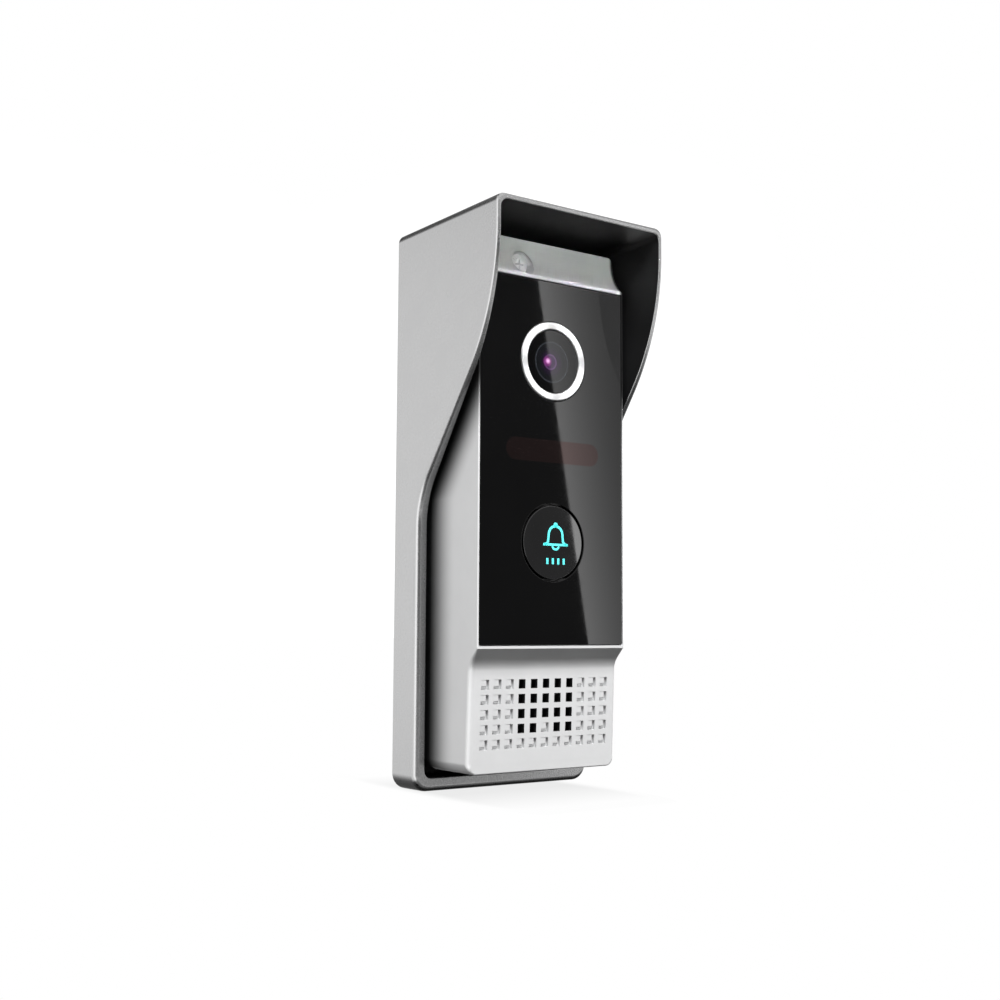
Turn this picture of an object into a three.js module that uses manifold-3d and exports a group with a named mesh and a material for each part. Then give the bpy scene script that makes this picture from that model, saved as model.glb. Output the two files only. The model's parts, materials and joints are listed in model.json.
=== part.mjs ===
// Door intercom panel: a wired outdoor station in a rain hood, millimetres, +Z up.
// Origin: centre of the hood's wall face. +Y points into the wall, so the front faces -Y, and +X is
// on the right of somebody who stands in front of it.

import * as THREE from 'three';
import { mergeVertices } from 'three/addons/utils/BufferGeometryUtils.js';
import Module from 'manifold-3d';

const wasm = await Module();
wasm.setup();

// ---------------------------------------------------------------- driving dimensions

// Clearances between neighbouring pieces
const GAP = 0.3;
const SNUG = 0.15;

// Rain hood
const HOOD_WIDTH = 51.6;
const LIP_WIDTH = 49;
const HOOD_DEPTH = 39.6;
const HOOD_BOTTOM = -66.3;
const HOOD_TOP = 66.4;
const LIP_RISE = 0.95;
const BACK_PLATE = 2.5;
const TRAY_DEPTH = 9.4;
const TRAY_WALL = 3.4;
const LIP_WALL = 1.1;
const ROOF_WALL = 1.65;
const FLOOR_WALL = 3.1;
const HOOD_LOW_RADIUS = 3.8;
const HOOD_HIGH_RADIUS = 2.2;
const CAVITY_RADIUS = 1.8;
// The hood's side edge leaves the lip at LIP_BEND, slopes back and meets the tray at TRAY_BEND
const LIP_BEND_Z = 43;
const LIP_BEND_RADIUS = 55;
const TRAY_BEND_Z = 1.1;
const TRAY_BEND_RADIUS = 19.3;

// Wall fixing and cable entry
const WALL_SCREW_Z = 50;
const WALL_SCREW_RADIUS = 2.3;
const WALL_SCREW_SINK = 4.2;
const CABLE_Z = -25;
const CABLE_HOLE_RADIUS = 8;

// Bracket
const BRACKET_HALF_WIDTH = 12.5;
const BRACKET_LOW = -46.5;
const BRACKET_HIGH = 61.5;
const SHEET = 1;
const BRACKET_SCREWS_Z = [-6, 32];
const HOOK_X = 8;
const HOOK_LEVELS = [-44, 12];
const HOOK_WIDTH = 2.6;
const HOOK_HEIGHT = 5;

// Front housing
const UNIT_WIDTH = 42.7;
const UNIT_LOW = -61.3;
const UNIT_HIGH = 62.9;
const UNIT_FRONT = -28.5;
const UNIT_BACK = -4.2;
const UNIT_LOW_RADIUS = 2.5;
const UNIT_HIGH_RADIUS = 1.6;
const SHELL_WALL = 1.8;
const FLANGE_FRONT = -24.8;
const FLANGE_START_Z = 53.7;
const FLANGE_ARC_RADIUS = 10.6;
const FLANGE_ARC_Z = 61.5;
const CHIN_START_Z = -33.6;
const CHIN_STEP_Z = -37.6;
const CHIN_STEP_Y = -25.9;
const CHIN_FOOT_Y = -24.9;
const CHIN_FILLET = 4;
const INNER_FRONT = -22.9;
const INNER_PANEL_FRONT = -24.4;

// Black front panel
const PANEL_HALF_WIDTH = 20.9;
const PANEL_LOW = -32.5;
const PANEL_HIGH = 52.75;
const PANEL_FRONT = -28.3;
const PANEL_THICKNESS = 2;
const PANEL_BACK = PANEL_FRONT + PANEL_THICKNESS;
const PANEL_SEAT = PANEL_BACK + SNUG;

// Camera
const LENS_Z = 33.8;
const RING_RADIUS = 9.5;
const RING_INNER_RADIUS = 7.65;
const RING_FRONT = -28.65;
const BARREL_RADIUS = 5.9;
const BARREL_FRONT = -27.15;

// Infra-red window and lamps
const IR_Z = 12.45;
const IR_WINDOW_WIDTH = 27.2;
const IR_WINDOW_HEIGHT = 5.3;
const IR_LED_X = [-12, -8, -4, 4, 8, 12];

// Call button
const BUTTON_Z = -8.8;
const BUTTON_RADIUS = 8.54;
const BUTTON_HOLE_RADIUS = 9.13;
const BUTTON_FLANGE_RADIUS = 9.45;
const BUTTON_WELL_RADIUS = 9.8;
const BUTTON_STEM_RADIUS = 1.5;
const BUTTON_STEM_END = -18.9;

// Speaker grille: a grid of small squares, some cut through and the rest blind
const GRILLE_Z = -48.05;
const GRILLE_COLUMNS = 11;
const GRILLE_ROWS = 5;
const GRILLE_PITCH_X = 3.45;
const GRILLE_PITCH_Z = 3.37;
const GRILLE_SQUARE = 2.2;
const GRILLE_WALL = 1;
const POCKET_DEPTH = 0.55;
const SPEAKER_Z = -46.9;
const SPEAKER_RADIUS = 11.5;

// Circuit boards
const MAIN_BOARD_FRONT = -12.4;
const MAIN_BOARD_BACK = -10.8;
const CAMERA_BOARD_FRONT = -10.2;
const CAMERA_BOARD_BACK = -8.6;
const IR_BOARD_FRONT = -20.2;
const IR_BOARD_BACK = -19;

// Fixings: [x, z] of each
const FIXING_SCREW = [-7.3, 56.8];
const HOUSING_SCREWS = [[-15.9, 57], [15.9, 57], [-15.9, -55.8], [15.9, -55.8]];
const MAIN_BOARD_SCREWS = [[-14.6, -31], [14.6, 3]];
const CAMERA_BOARD_SCREWS = [[-14, 46], [14, 21.5]];
const HOLDER_SCREW_X = 10.2;

// Rear of the unit
const COVER_FRONT = -6.1;
const COVER_LEDGE = -6.9;
const TRIMMER = [12, -8];
const MICROPHONE_Y = -11;
const MICROPHONE_LOW = -58.4;

// ---------------------------------------------------------------- outlines and solids

// A closed geometry as a manifold solid, with its faces turned outwards.
function solidFrom(geometry) {
  const bare = geometry.clone();
  bare.deleteAttribute('normal');
  bare.deleteAttribute('uv');
  const merged = mergeVertices(bare, 1e-4);
  const corners = Array.from(merged.index.array);
  const triangles = [];
  for (let i = 0; i < corners.length; i += 3) {
    const [a, b, c] = corners.slice(i, i + 3);
    if (a !== b && b !== c && c !== a) {
      triangles.push(a, b, c);
    }
  }
  if (signedVolume(merged.attributes.position, triangles) < 0) {
    triangles.reverse();
  }
  const vertProperties = Float32Array.from(merged.attributes.position.array);
  const triVerts = Uint32Array.from(triangles);
  return new wasm.Manifold(new wasm.Mesh({ numProp: 3, vertProperties, triVerts }));
}

function signedVolume(position, triangles) {
  const [a, b, c] = [new THREE.Vector3(), new THREE.Vector3(), new THREE.Vector3()];
  let sum = 0;
  for (let i = 0; i < triangles.length; i += 3) {
    a.fromBufferAttribute(position, triangles[i]);
    b.fromBufferAttribute(position, triangles[i + 1]);
    c.fromBufferAttribute(position, triangles[i + 2]);
    sum += a.dot(b.cross(c)) / 6;
  }
  return sum;
}

function geometryFrom(solid) {
  const mesh = solid.getMesh();
  const geometry = new THREE.BufferGeometry();
  geometry.setAttribute('position', new THREE.BufferAttribute(mesh.vertProperties, 3));
  geometry.setIndex(new THREE.BufferAttribute(mesh.triVerts, 1));
  return geometry;
}

// Outline through corners [u, v, radius]; a corner with a radius is rounded by a tangent arc.
function outline(corners) {
  const shape = new THREE.Shape();
  const count = corners.length;
  corners.forEach(([u, v, radius = 0], index) => {
    const corner = new THREE.Vector2(u, v);
    if (radius === 0) {
      index === 0 ? shape.moveTo(u, v) : shape.lineTo(u, v);
      return;
    }
    const toBefore = new THREE.Vector2(...corners[(index + count - 1) % count]).sub(corner).normalize();
    const toAfter = new THREE.Vector2(...corners[(index + 1) % count]).sub(corner).normalize();
    const halfAngle = Math.acos(toBefore.dot(toAfter)) / 2;
    const reach = radius / Math.tan(halfAngle);
    const start = corner.clone().addScaledVector(toBefore, reach);
    const end = corner.clone().addScaledVector(toAfter, reach);
    const towardsCentre = toBefore.clone().add(toAfter).normalize();
    const centre = corner.clone().addScaledVector(towardsCentre, radius / Math.sin(halfAngle));
    const clockwise = toAfter.cross(toBefore) < 0;
    const startAngle = start.clone().sub(centre).angle();
    const endAngle = end.clone().sub(centre).angle();
    index === 0 ? shape.moveTo(start.x, start.y) : shape.lineTo(start.x, start.y);
    shape.absarc(centre.x, centre.y, radius, startAngle, endAngle, clockwise);
  });
  return shape;
}

function rectangle(left, low, right, high, lowRadius = 0, highRadius = lowRadius) {
  return outline([
    [left, low, lowRadius],
    [right, low, lowRadius],
    [right, high, highRadius],
    [left, high, highRadius],
  ]);
}

// Outline in X and Z, extruded from yFront back to yBack.
function facePrismGeometry(shape, yFront, yBack, curveSegments = 5) {
  const geometry = new THREE.ExtrudeGeometry(shape, {
    depth: yBack - yFront,
    bevelEnabled: false,
    curveSegments,
  });
  geometry.rotateX(Math.PI / 2);
  return geometry.translate(0, yBack, 0);
}

function facePrism(shape, yFront, yBack, curveSegments) {
  return solidFrom(facePrismGeometry(shape, yFront, yBack, curveSegments));
}

// Outline in Y and Z, extruded along X.
function sidePrism(shape, xLeft, xRight, curveSegments = 12) {
  const geometry = new THREE.ExtrudeGeometry(shape, {
    depth: xRight - xLeft,
    bevelEnabled: false,
    curveSegments,
  });
  const axes = new THREE.Matrix4().makeBasis(
    new THREE.Vector3(0, 1, 0),
    new THREE.Vector3(0, 0, 1),
    new THREE.Vector3(1, 0, 0),
  );
  geometry.applyMatrix4(axes);
  return solidFrom(geometry.translate(xLeft, 0, 0));
}

function box(xLow, yLow, zLow, xHigh, yHigh, zHigh) {
  const geometry = new THREE.BoxGeometry(xHigh - xLow, yHigh - yLow, zHigh - zLow);
  return solidFrom(geometry.translate((xLow + xHigh) / 2, (yLow + yHigh) / 2, (zLow + zHigh) / 2));
}

// Closed profile of [radius, y] points, turned about a line along Y through (x, z).
function turned(profile, [x, z] = [0, 0], segments = 24) {
  const points = profile.map(([radius, y]) => new THREE.Vector2(radius, y));
  if (profile[0][0] > 0) {
    points.push(points[0].clone());
  }
  const geometry = new THREE.LatheGeometry(points, segments);
  return solidFrom(geometry.translate(x, 0, z));
}

function disc(radius, yFront, yBack, centre, segments) {
  return turned([[0, yFront], [radius, yFront], [radius, yBack], [0, yBack]], centre, segments);
}

function ring(outer, inner, yFront, yBack, centre, segments) {
  return turned([[inner, yFront], [outer, yFront], [outer, yBack], [inner, yBack]], centre, segments);
}

function cone(frontRadius, backRadius, yFront, yBack, centre, segments) {
  return turned([[0, yFront], [frontRadius, yFront], [backRadius, yBack], [0, yBack]], centre, segments);
}

function union(solids) {
  return solids.reduce((whole, solid) => whole.add(solid));
}

function cut(solid, tools) {
  return tools.reduce((rest, tool) => rest.subtract(tool), solid);
}

// Points of a lens surface: a shallow dome from the axis out to the rim.
function domeProfile(rimRadius, apexY, rimY, steps) {
  const sag = rimY - apexY;
  const sphere = (rimRadius * rimRadius + sag * sag) / (2 * sag);
  const points = [];
  for (let i = 0; i <= steps; i += 1) {
    const radius = (rimRadius * i) / steps;
    const drop = Math.abs(sphere) - Math.sqrt(sphere * sphere - radius * radius);
    points.push([radius, apexY + Math.sign(sag) * drop]);
  }
  return points;
}

// ---------------------------------------------------------------- materials

function finish(color, roughness, metalness) {
  return new THREE.MeshStandardMaterial({ color, roughness, metalness });
}

const SILVER_PAINT = finish(0xb9babb, 0.42, 0.35);
const BLACK_ACRYLIC = finish(0x08090a, 0.06, 0);
const CHROME = finish(0xe4e5e6, 0.12, 1);
const CLEAR_GLASS = finish(0x1c1f24, 0.03, 0);
const COATED_GLASS = finish(0x2a1534, 0.04, 0);
const BLACK_METAL = finish(0x101112, 0.5, 0.6);
const BLACK_PLASTIC = finish(0x151617, 0.6, 0);
const RED_FILTER = finish(0x2a0606, 0.2, 0);
const LED_EPOXY = finish(0x39303a, 0.15, 0);
const DIFFUSER = finish(0x8fe6e0, 0.5, 0);
const RUBBER = finish(0x1b1b1c, 0.85, 0);
const FOAM = finish(0x242426, 0.95, 0);
const STEEL = finish(0xa6a9ac, 0.35, 1);
const BOARD = finish(0x16502e, 0.55, 0);
const CHIP = finish(0x1a1a1c, 0.45, 0);
const WHITE_PLASTIC = finish(0xe4e0d2, 0.55, 0);
const CREAM_PAPER = finish(0x3a3632, 0.9, 0);
const MESH_CLOTH = finish(0x0e0e0f, 0.95, 0);

// ---------------------------------------------------------------- rain hood and bracket

// Draws the hood's sides in and its roof up towards the front lip.
function draft(geometry, widthChange, rise) {
  const position = geometry.attributes.position;
  for (let i = 0; i < position.count; i += 1) {
    const forward = -position.getY(i) / HOOD_DEPTH;
    const side = Math.sign(position.getX(i));
    position.setX(i, position.getX(i) + side * widthChange * forward);
    if (position.getZ(i) > 0) {
      position.setZ(i, position.getZ(i) + rise * forward);
    }
  }
  return geometry;
}

function rainHood() {
  const half = HOOD_WIDTH / 2;
  const lipHalf = LIP_WIDTH / 2;
  const outer = facePrismGeometry(
    rectangle(-half, HOOD_BOTTOM, half, HOOD_TOP, HOOD_LOW_RADIUS, HOOD_HIGH_RADIUS),
    -HOOD_DEPTH,
    0,
  );
  const cavityHalf = half - TRAY_WALL;
  const cavity = facePrismGeometry(
    rectangle(-cavityHalf, HOOD_BOTTOM + FLOOR_WALL, cavityHalf, HOOD_TOP - ROOF_WALL, CAVITY_RADIUS),
    -HOOD_DEPTH,
    -BACK_PLATE,
  );
  const shell = solidFrom(draft(outer, lipHalf - half, LIP_RISE));
  const hollow = solidFrom(draft(cavity, lipHalf - LIP_WALL - cavityHalf, LIP_RISE));
  const beyond = 2 * HOOD_DEPTH;
  const frontCut = sidePrism(
    outline([
      [-beyond, beyond],
      [-HOOD_DEPTH, beyond],
      [-HOOD_DEPTH, LIP_BEND_Z, LIP_BEND_RADIUS],
      [-TRAY_DEPTH, TRAY_BEND_Z, TRAY_BEND_RADIUS],
      [-TRAY_DEPTH, -beyond],
      [-beyond, -beyond],
    ]),
    -HOOD_WIDTH,
    HOOD_WIDTH,
  );
  const mouth = facePrism(
    rectangle(GAP - lipHalf + LIP_WALL, TRAY_BEND_Z, lipHalf - LIP_WALL - GAP, HOOD_TOP - ROOF_WALL),
    -HOOD_DEPTH - 1,
    -HOOD_DEPTH + 1,
  );
  const wallScrews = [-WALL_SCREW_Z, WALL_SCREW_Z].map((z) => union([
    disc(WALL_SCREW_RADIUS, -BACK_PLATE - 1, 1, [0, z], 16),
    cone(WALL_SCREW_SINK + 1, WALL_SCREW_RADIUS, -BACK_PLATE - 1, -BACK_PLATE + 1.9, [0, z], 16),
  ]));
  const bracketScrews = BRACKET_SCREWS_Z.map((z) => disc(1.5, -BACK_PLATE - 1, 1, [0, z], 12));
  const cableHole = disc(CABLE_HOLE_RADIUS, -BACK_PLATE - 1, 1, [0, CABLE_Z], 24);
  return cut(shell, [hollow, mouth, frontCut, ...wallScrews, ...bracketScrews, cableHole]);
}

// Rubber ring in the hood's cable hole, with its flange on the inner side of the back plate.
function cableGrommet() {
  const neck = CABLE_HOLE_RADIUS - GAP;
  const flange = CABLE_HOLE_RADIUS + 1.4;
  const seat = -BACK_PLATE - SNUG;
  return turned(
    [[5, -3.7], [flange, -3.7], [flange, seat], [neck, seat], [neck, -SNUG], [5, -SNUG]],
    [0, CABLE_Z],
    20,
  );
}

function mountingBracket() {
  const back = -BACK_PLATE - GAP;
  const front = back - SHEET;
  const plate = facePrism(
    rectangle(-BRACKET_HALF_WIDTH, BRACKET_LOW, BRACKET_HALF_WIDTH, BRACKET_HIGH, 2),
    front,
    back,
  );
  const hooks = [];
  for (const z of HOOK_LEVELS) {
    for (const x of [-HOOK_X, HOOK_X]) {
      const left = x - HOOK_WIDTH / 2;
      const right = x + HOOK_WIDTH / 2;
      hooks.push(box(left, COVER_FRONT - 1.6, z, right, back, z + SHEET));
      hooks.push(box(left, COVER_FRONT - 1.6, z, right, COVER_FRONT - 0.6, z + HOOK_HEIGHT));
    }
  }
  const post = disc(2.6, -9.6, back, FIXING_SCREW, 16);
  const holes = [
    disc(1.7, -12, 0, FIXING_SCREW, 16),
    disc(WALL_SCREW_SINK, -5, 0, [0, WALL_SCREW_Z], 20),
    disc(CABLE_HOLE_RADIUS + 2, -5, 0, [0, CABLE_Z], 24),
    ...BRACKET_SCREWS_Z.map((z) => cone(3, 1.9, front - 0.01, back + 0.01, [0, z], 16)),
  ];
  return cut(union([plate, ...hooks, post]), holes);
}

// ---------------------------------------------------------------- front housing

// Everything in front of the housing's stepped face: the chin below and the flange above.
function steppedFace() {
  const beyond = UNIT_FRONT - 10;
  const above = UNIT_HIGH + 10;
  const below = UNIT_LOW - 10;
  const arcCentreY = FLANGE_FRONT - FLANGE_ARC_RADIUS;
  const startAngle = Math.asin((FLANGE_START_Z - FLANGE_ARC_Z) / FLANGE_ARC_RADIUS);
  const flange = new THREE.Shape();
  flange.moveTo(beyond, above);
  flange.lineTo(beyond, FLANGE_START_Z);
  flange.absarc(arcCentreY, FLANGE_ARC_Z, FLANGE_ARC_RADIUS, startAngle, 0);
  flange.lineTo(FLANGE_FRONT, above);
  const slope = (CHIN_FOOT_Y - CHIN_STEP_Y) / (UNIT_LOW - CHIN_STEP_Z);
  const chin = outline([
    [beyond, CHIN_START_Z],
    [UNIT_FRONT, CHIN_START_Z],
    [CHIN_STEP_Y, CHIN_STEP_Z, CHIN_FILLET],
    [CHIN_STEP_Y + slope * (below - CHIN_STEP_Z), below],
    [beyond, below],
  ]);
  return [sidePrism(flange, -UNIT_WIDTH, UNIT_WIDTH, 8), sidePrism(chin, -UNIT_WIDTH, UNIT_WIDTH, 4)];
}

// Middle squares of the upper rows let the sound out; the rest are decoration.
function isThroughHole(row, column) {
  const fromCentre = Math.abs(column - (GRILLE_COLUMNS - 1) / 2);
  if (row <= 2) {
    return fromCentre <= 2;
  }
  return row === 3 && fromCentre >= 1 && fromCentre <= 2;
}

function chinFaceY(z) {
  const slope = (CHIN_FOOT_Y - CHIN_STEP_Y) / (UNIT_LOW - CHIN_STEP_Z);
  return CHIN_STEP_Y + slope * (z - CHIN_STEP_Z);
}

function grilleHoles() {
  const holes = [];
  for (let row = 0; row < GRILLE_ROWS; row += 1) {
    const z = GRILLE_Z + ((GRILLE_ROWS - 1) / 2 - row) * GRILLE_PITCH_Z;
    for (let column = 0; column < GRILLE_COLUMNS; column += 1) {
      const x = (column - (GRILLE_COLUMNS - 1) / 2) * GRILLE_PITCH_X;
      const face = chinFaceY(z);
      const floor = isThroughHole(row, column) ? INNER_FRONT + 1 : face + POCKET_DEPTH;
      const half = GRILLE_SQUARE / 2;
      holes.push(box(x - half, face - 1, z - half, x + half, floor, z + half));
    }
  }
  return union(holes);
}

// Thins the chin behind the grille, inside the speaker's seat.
function grilleRelief() {
  const seat = disc(SPEAKER_RADIUS, -30, INNER_FRONT + 0.1, [0, SPEAKER_Z], 32);
  const high = SPEAKER_Z + SPEAKER_RADIUS;
  const low = SPEAKER_Z - SPEAKER_RADIUS;
  const behindWall = sidePrism(
    outline([
      [chinFaceY(high) + GRILLE_WALL, high],
      [chinFaceY(low) + GRILLE_WALL, low],
      [INNER_FRONT + 1, low],
      [INNER_FRONT + 1, high],
    ]),
    -UNIT_WIDTH,
    UNIT_WIDTH,
  );
  return seat.intersect(behindWall);
}

function housingCavity() {
  const side = UNIT_WIDTH / 2 - SHELL_WALL;
  const low = UNIT_LOW + SHELL_WALL;
  const high = UNIT_HIGH - SHELL_WALL;
  const main = facePrism(rectangle(-side, low, side, high, 1.2), INNER_FRONT, 0, 3);
  const behindPanel = facePrism(
    rectangle(2 - PANEL_HALF_WIDTH, PANEL_LOW + 2, PANEL_HALF_WIDTH - 2, PANEL_HIGH - 2, 1.2),
    INNER_PANEL_FRONT,
    INNER_FRONT + 1,
    3,
  );
  const ledge = 0.8;
  const coverSeat = facePrism(
    rectangle(-side - ledge, low - ledge, side + ledge, high + ledge, 1.6),
    COVER_LEDGE,
    0,
    3,
  );
  return [main, behindPanel, coverSeat];
}

function frontHousing() {
  const half = UNIT_WIDTH / 2;
  const block = facePrism(
    rectangle(-half, UNIT_LOW, half, UNIT_HIGH, UNIT_LOW_RADIUS, UNIT_HIGH_RADIUS),
    UNIT_FRONT,
    UNIT_BACK,
  );
  const panelRecess = facePrism(
    rectangle(
      -PANEL_HALF_WIDTH - SNUG,
      PANEL_LOW - SNUG,
      PANEL_HALF_WIDTH + SNUG,
      PANEL_HIGH + SNUG,
    ),
    UNIT_FRONT - 1,
    PANEL_SEAT,
  );
  const shell = cut(block, [...steppedFace(), panelRecess, ...housingCavity()]);
  const panelWall = INNER_PANEL_FRONT - 0.2;
  const frontWall = INNER_FRONT - 0.3;
  const inside = [
    ...HOUSING_SCREWS.map((at) => disc(3.4, frontWall, COVER_LEDGE, at, 12)),
    disc(3.3, frontWall, -10, FIXING_SCREW, 14),
    ...CAMERA_BOARD_SCREWS.map((at) => disc(2.2, panelWall, CAMERA_BOARD_FRONT - GAP, at, 10)),
    ...MAIN_BOARD_SCREWS.map((at) => disc(2.2, panelWall, MAIN_BOARD_FRONT - GAP, at, 10)),
    ring(SPEAKER_RADIUS + 1.2, SPEAKER_RADIUS + GAP, frontWall, -19.5, [0, SPEAKER_Z], 32),
    ring(BUTTON_WELL_RADIUS + 1.1, 7.2, panelWall, -22.6, [0, BUTTON_Z], 32),
  ];
  const holes = [
    disc(6.9, UNIT_FRONT, -20, [0, LENS_Z], 28),
    facePrism(stadium(IR_WINDOW_WIDTH + 2 * GAP, IR_WINDOW_HEIGHT + 2 * GAP), UNIT_FRONT, -20, 8),
    disc(BUTTON_WELL_RADIUS, UNIT_FRONT, -23.1, [0, BUTTON_Z], 32),
    ...HOUSING_SCREWS.map((at) => disc(1.45, -18, 0, at, 10)),
    disc(3, -35, -24.35, FIXING_SCREW, 20),
    cone(3, 1.8, -24.4, -22.6, FIXING_SCREW, 20),
    disc(1.8, -25, 0, FIXING_SCREW, 16),
    ...CAMERA_BOARD_SCREWS.map((at) => disc(1.3, -17, 0, at, 8)),
    ...MAIN_BOARD_SCREWS.map((at) => disc(1.3, -19, 0, at, 8)),
    grilleRelief(),
    grilleHoles(),
    microphoneHole(),
  ];
  return cut(union([shell, ...inside]), holes);
}

function microphoneHole() {
  const geometry = new THREE.CylinderGeometry(0.8, 0.8, 4, 12).rotateX(Math.PI / 2);
  return solidFrom(geometry.translate(0, MICROPHONE_Y, UNIT_LOW + SHELL_WALL / 2));
}

// A slot with round ends, centred on the infra-red window.
function stadium(width, height) {
  const radius = height / 2;
  const reach = width / 2 - radius;
  const shape = new THREE.Shape();
  shape.absarc(reach, IR_Z, radius, -Math.PI / 2, Math.PI / 2);
  shape.absarc(-reach, IR_Z, radius, Math.PI / 2, (3 * Math.PI) / 2);
  return shape;
}

function frontPanel() {
  const sheet = facePrism(
    rectangle(-PANEL_HALF_WIDTH, PANEL_LOW, PANEL_HALF_WIDTH, PANEL_HIGH, 0.4),
    PANEL_FRONT,
    PANEL_BACK,
    3,
  );
  const lensHole = disc(RING_RADIUS + GAP, PANEL_FRONT - 1, PANEL_BACK + 1, [0, LENS_Z], 40);
  const buttonHole = disc(BUTTON_HOLE_RADIUS, PANEL_FRONT - 1, PANEL_BACK + 1, [0, BUTTON_Z], 40);
  return cut(sheet, [lensHole, buttonHole]);
}

// Black plastic back of the unit, inset in the housing's rear edge.
function rearCover() {
  const edge = UNIT_WIDTH / 2 - SHELL_WALL + 0.8 - GAP;
  const low = UNIT_LOW + SHELL_WALL - 0.8 + GAP;
  const high = UNIT_HIGH - SHELL_WALL + 0.8 - GAP;
  const plate = facePrism(rectangle(-edge, low, edge, high, 1.4), COVER_FRONT, UNIT_BACK, 3);
  const slots = [];
  for (const z of HOOK_LEVELS) {
    for (const x of [-HOOK_X, HOOK_X]) {
      const half = HOOK_WIDTH / 2 + 0.5;
      slots.push(box(x - half, -8, z - 0.6, x + half, 0, z + HOOK_HEIGHT + 1.2));
    }
  }
  const holes = [
    ...HOUSING_SCREWS.map((at) => disc(2.6, -5.55, 0, at, 16)),
    ...HOUSING_SCREWS.map((at) => disc(1.5, -8, 0, at, 12)),
    disc(3, -8, 0, FIXING_SCREW, 16),
    box(-7.6, -8, CABLE_Z - 4.5, 7.6, 0, CABLE_Z + 4.5),
    disc(2.4, -8, 0, TRIMMER, 16),
  ];
  return cut(plate, [...slots, ...holes]);
}

function coverGasket() {
  const outer = UNIT_WIDTH / 2 - SHELL_WALL + 0.65;
  const low = UNIT_LOW + SHELL_WALL - 0.65;
  const high = UNIT_HIGH - SHELL_WALL + 0.65;
  const width = 0.6;
  const whole = facePrism(rectangle(-outer, low, outer, high, 1.4), COVER_LEDGE + 0.1, COVER_FRONT - 0.1, 3);
  const middle = facePrism(
    rectangle(width - outer, low + width, outer - width, high - width, 0.9),
    COVER_LEDGE - 1,
    COVER_FRONT + 1,
    3,
  );
  return whole.subtract(middle);
}

// ---------------------------------------------------------------- camera

function lensRing() {
  const back = PANEL_BACK;
  const step = -27.3;
  return turned(
    [
      [6.3, back],
      [RING_RADIUS, back],
      [RING_RADIUS, RING_FRONT + 0.35],
      [RING_RADIUS - 0.35, RING_FRONT],
      [RING_INNER_RADIUS + 0.35, RING_FRONT],
      [RING_INNER_RADIUS, RING_FRONT + 0.35],
      [RING_INNER_RADIUS, step],
      [6.3, step],
    ],
    [0, LENS_Z],
    40,
  );
}

function lensWindow() {
  return disc(RING_INNER_RADIUS - 0.2, PANEL_FRONT, -27.45, [0, LENS_Z], 40);
}

// Black threaded barrel with a seat for each glass and an iris between them.
function lensBarrel() {
  return turned(
    [
      [BARREL_RADIUS, BARREL_FRONT],
      [BARREL_RADIUS, -20],
      [5.6, -20],
      [5.6, -13],
      [3.6, -13],
      [3.6, -20.4],
      [1.6, -20.4],
      [1.6, -21.2],
      [2.8, -21.2],
      [2.8, -23.4],
      [1.4, -23.4],
      [1.4, -24],
      [3.4, -24.9],
      [4.9, -24.9],
      [4.9, -26.5],
      [5.3, BARREL_FRONT],
    ],
    [0, LENS_Z],
    20,
  );
}

function frontElement() {
  const rim = 4.65;
  return turned([...domeProfile(rim, -26.75, -25.6, 4), [rim, -25.15], [0, -25.15]], [0, LENS_Z], 20);
}

function innerElement() {
  const rim = 2.5;
  const back = domeProfile(rim, -21.5, -22, 2).reverse();
  return turned([...domeProfile(rim, -23.1, -22.6, 2), ...back], [0, LENS_Z], 14);
}

function lensHolder() {
  const back = CAMERA_BOARD_FRONT - GAP;
  const base = box(-8, -15, LENS_Z - 8, 8, back, LENS_Z + 8);
  const ears = box(-12.4, -12.5, LENS_Z - 2.5, 12.4, back, LENS_Z + 2.5);
  const neck = disc(7.6, -19.2, -14.8, [0, LENS_Z], 24);
  const bore = disc(BARREL_RADIUS, -22, -12.4, [0, LENS_Z], 24);
  const sensorRoom = box(-6, -12.5, LENS_Z - 6, 6, back + 1, LENS_Z + 6);
  const screwHoles = [-HOLDER_SCREW_X, HOLDER_SCREW_X].map((x) => disc(1.15, -14, 0, [x, LENS_Z], 10));
  return cut(union([base, ears, neck]), [bore, sensorRoom, ...screwHoles]);
}

// ---------------------------------------------------------------- boards and what sits on them

function board(left, low, right, high, yFront, yBack, screws, holeRadius) {
  const sheet = facePrism(rectangle(left, low, right, high, 1), yFront, yBack, 2);
  return cut(sheet, screws.map((at) => disc(holeRadius, yFront - 1, yBack + 1, at, 12)));
}

function cameraBoard() {
  const holderScrews = [[-HOLDER_SCREW_X, LENS_Z], [HOLDER_SCREW_X, LENS_Z]];
  const screws = [...CAMERA_BOARD_SCREWS, ...holderScrews];
  return board(-16.4, 18.4, 16.4, 49.2, CAMERA_BOARD_FRONT, CAMERA_BOARD_BACK, screws, 1.4);
}

function mainBoard() {
  return board(-17, -51, 17, 16, MAIN_BOARD_FRONT, MAIN_BOARD_BACK, MAIN_BOARD_SCREWS, 1.4);
}

function irBoard() {
  return board(-16, IR_Z - 4.1, 16, IR_Z + 4.1, IR_BOARD_FRONT, IR_BOARD_BACK, [], 0);
}

// Flat ribbon that arches from the camera board down to the main board.
function cameraRibbon() {
  const start = CAMERA_BOARD_BACK + GAP;
  const end = MAIN_BOARD_BACK + GAP;
  const crest = -7;
  const thick = 0.5;
  const path = outline([
    [start, 25],
    [start, 21],
    [crest, 19],
    [crest, 15],
    [end, 13],
    [end, 8],
    [end + thick, 8],
    [end + thick, 12.6],
    [crest + thick, 14.7],
    [crest + thick, 19.3],
    [start + thick, 21.4],
    [start + thick, 25],
  ]);
  return sidePrism(path, -5, 5);
}

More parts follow.
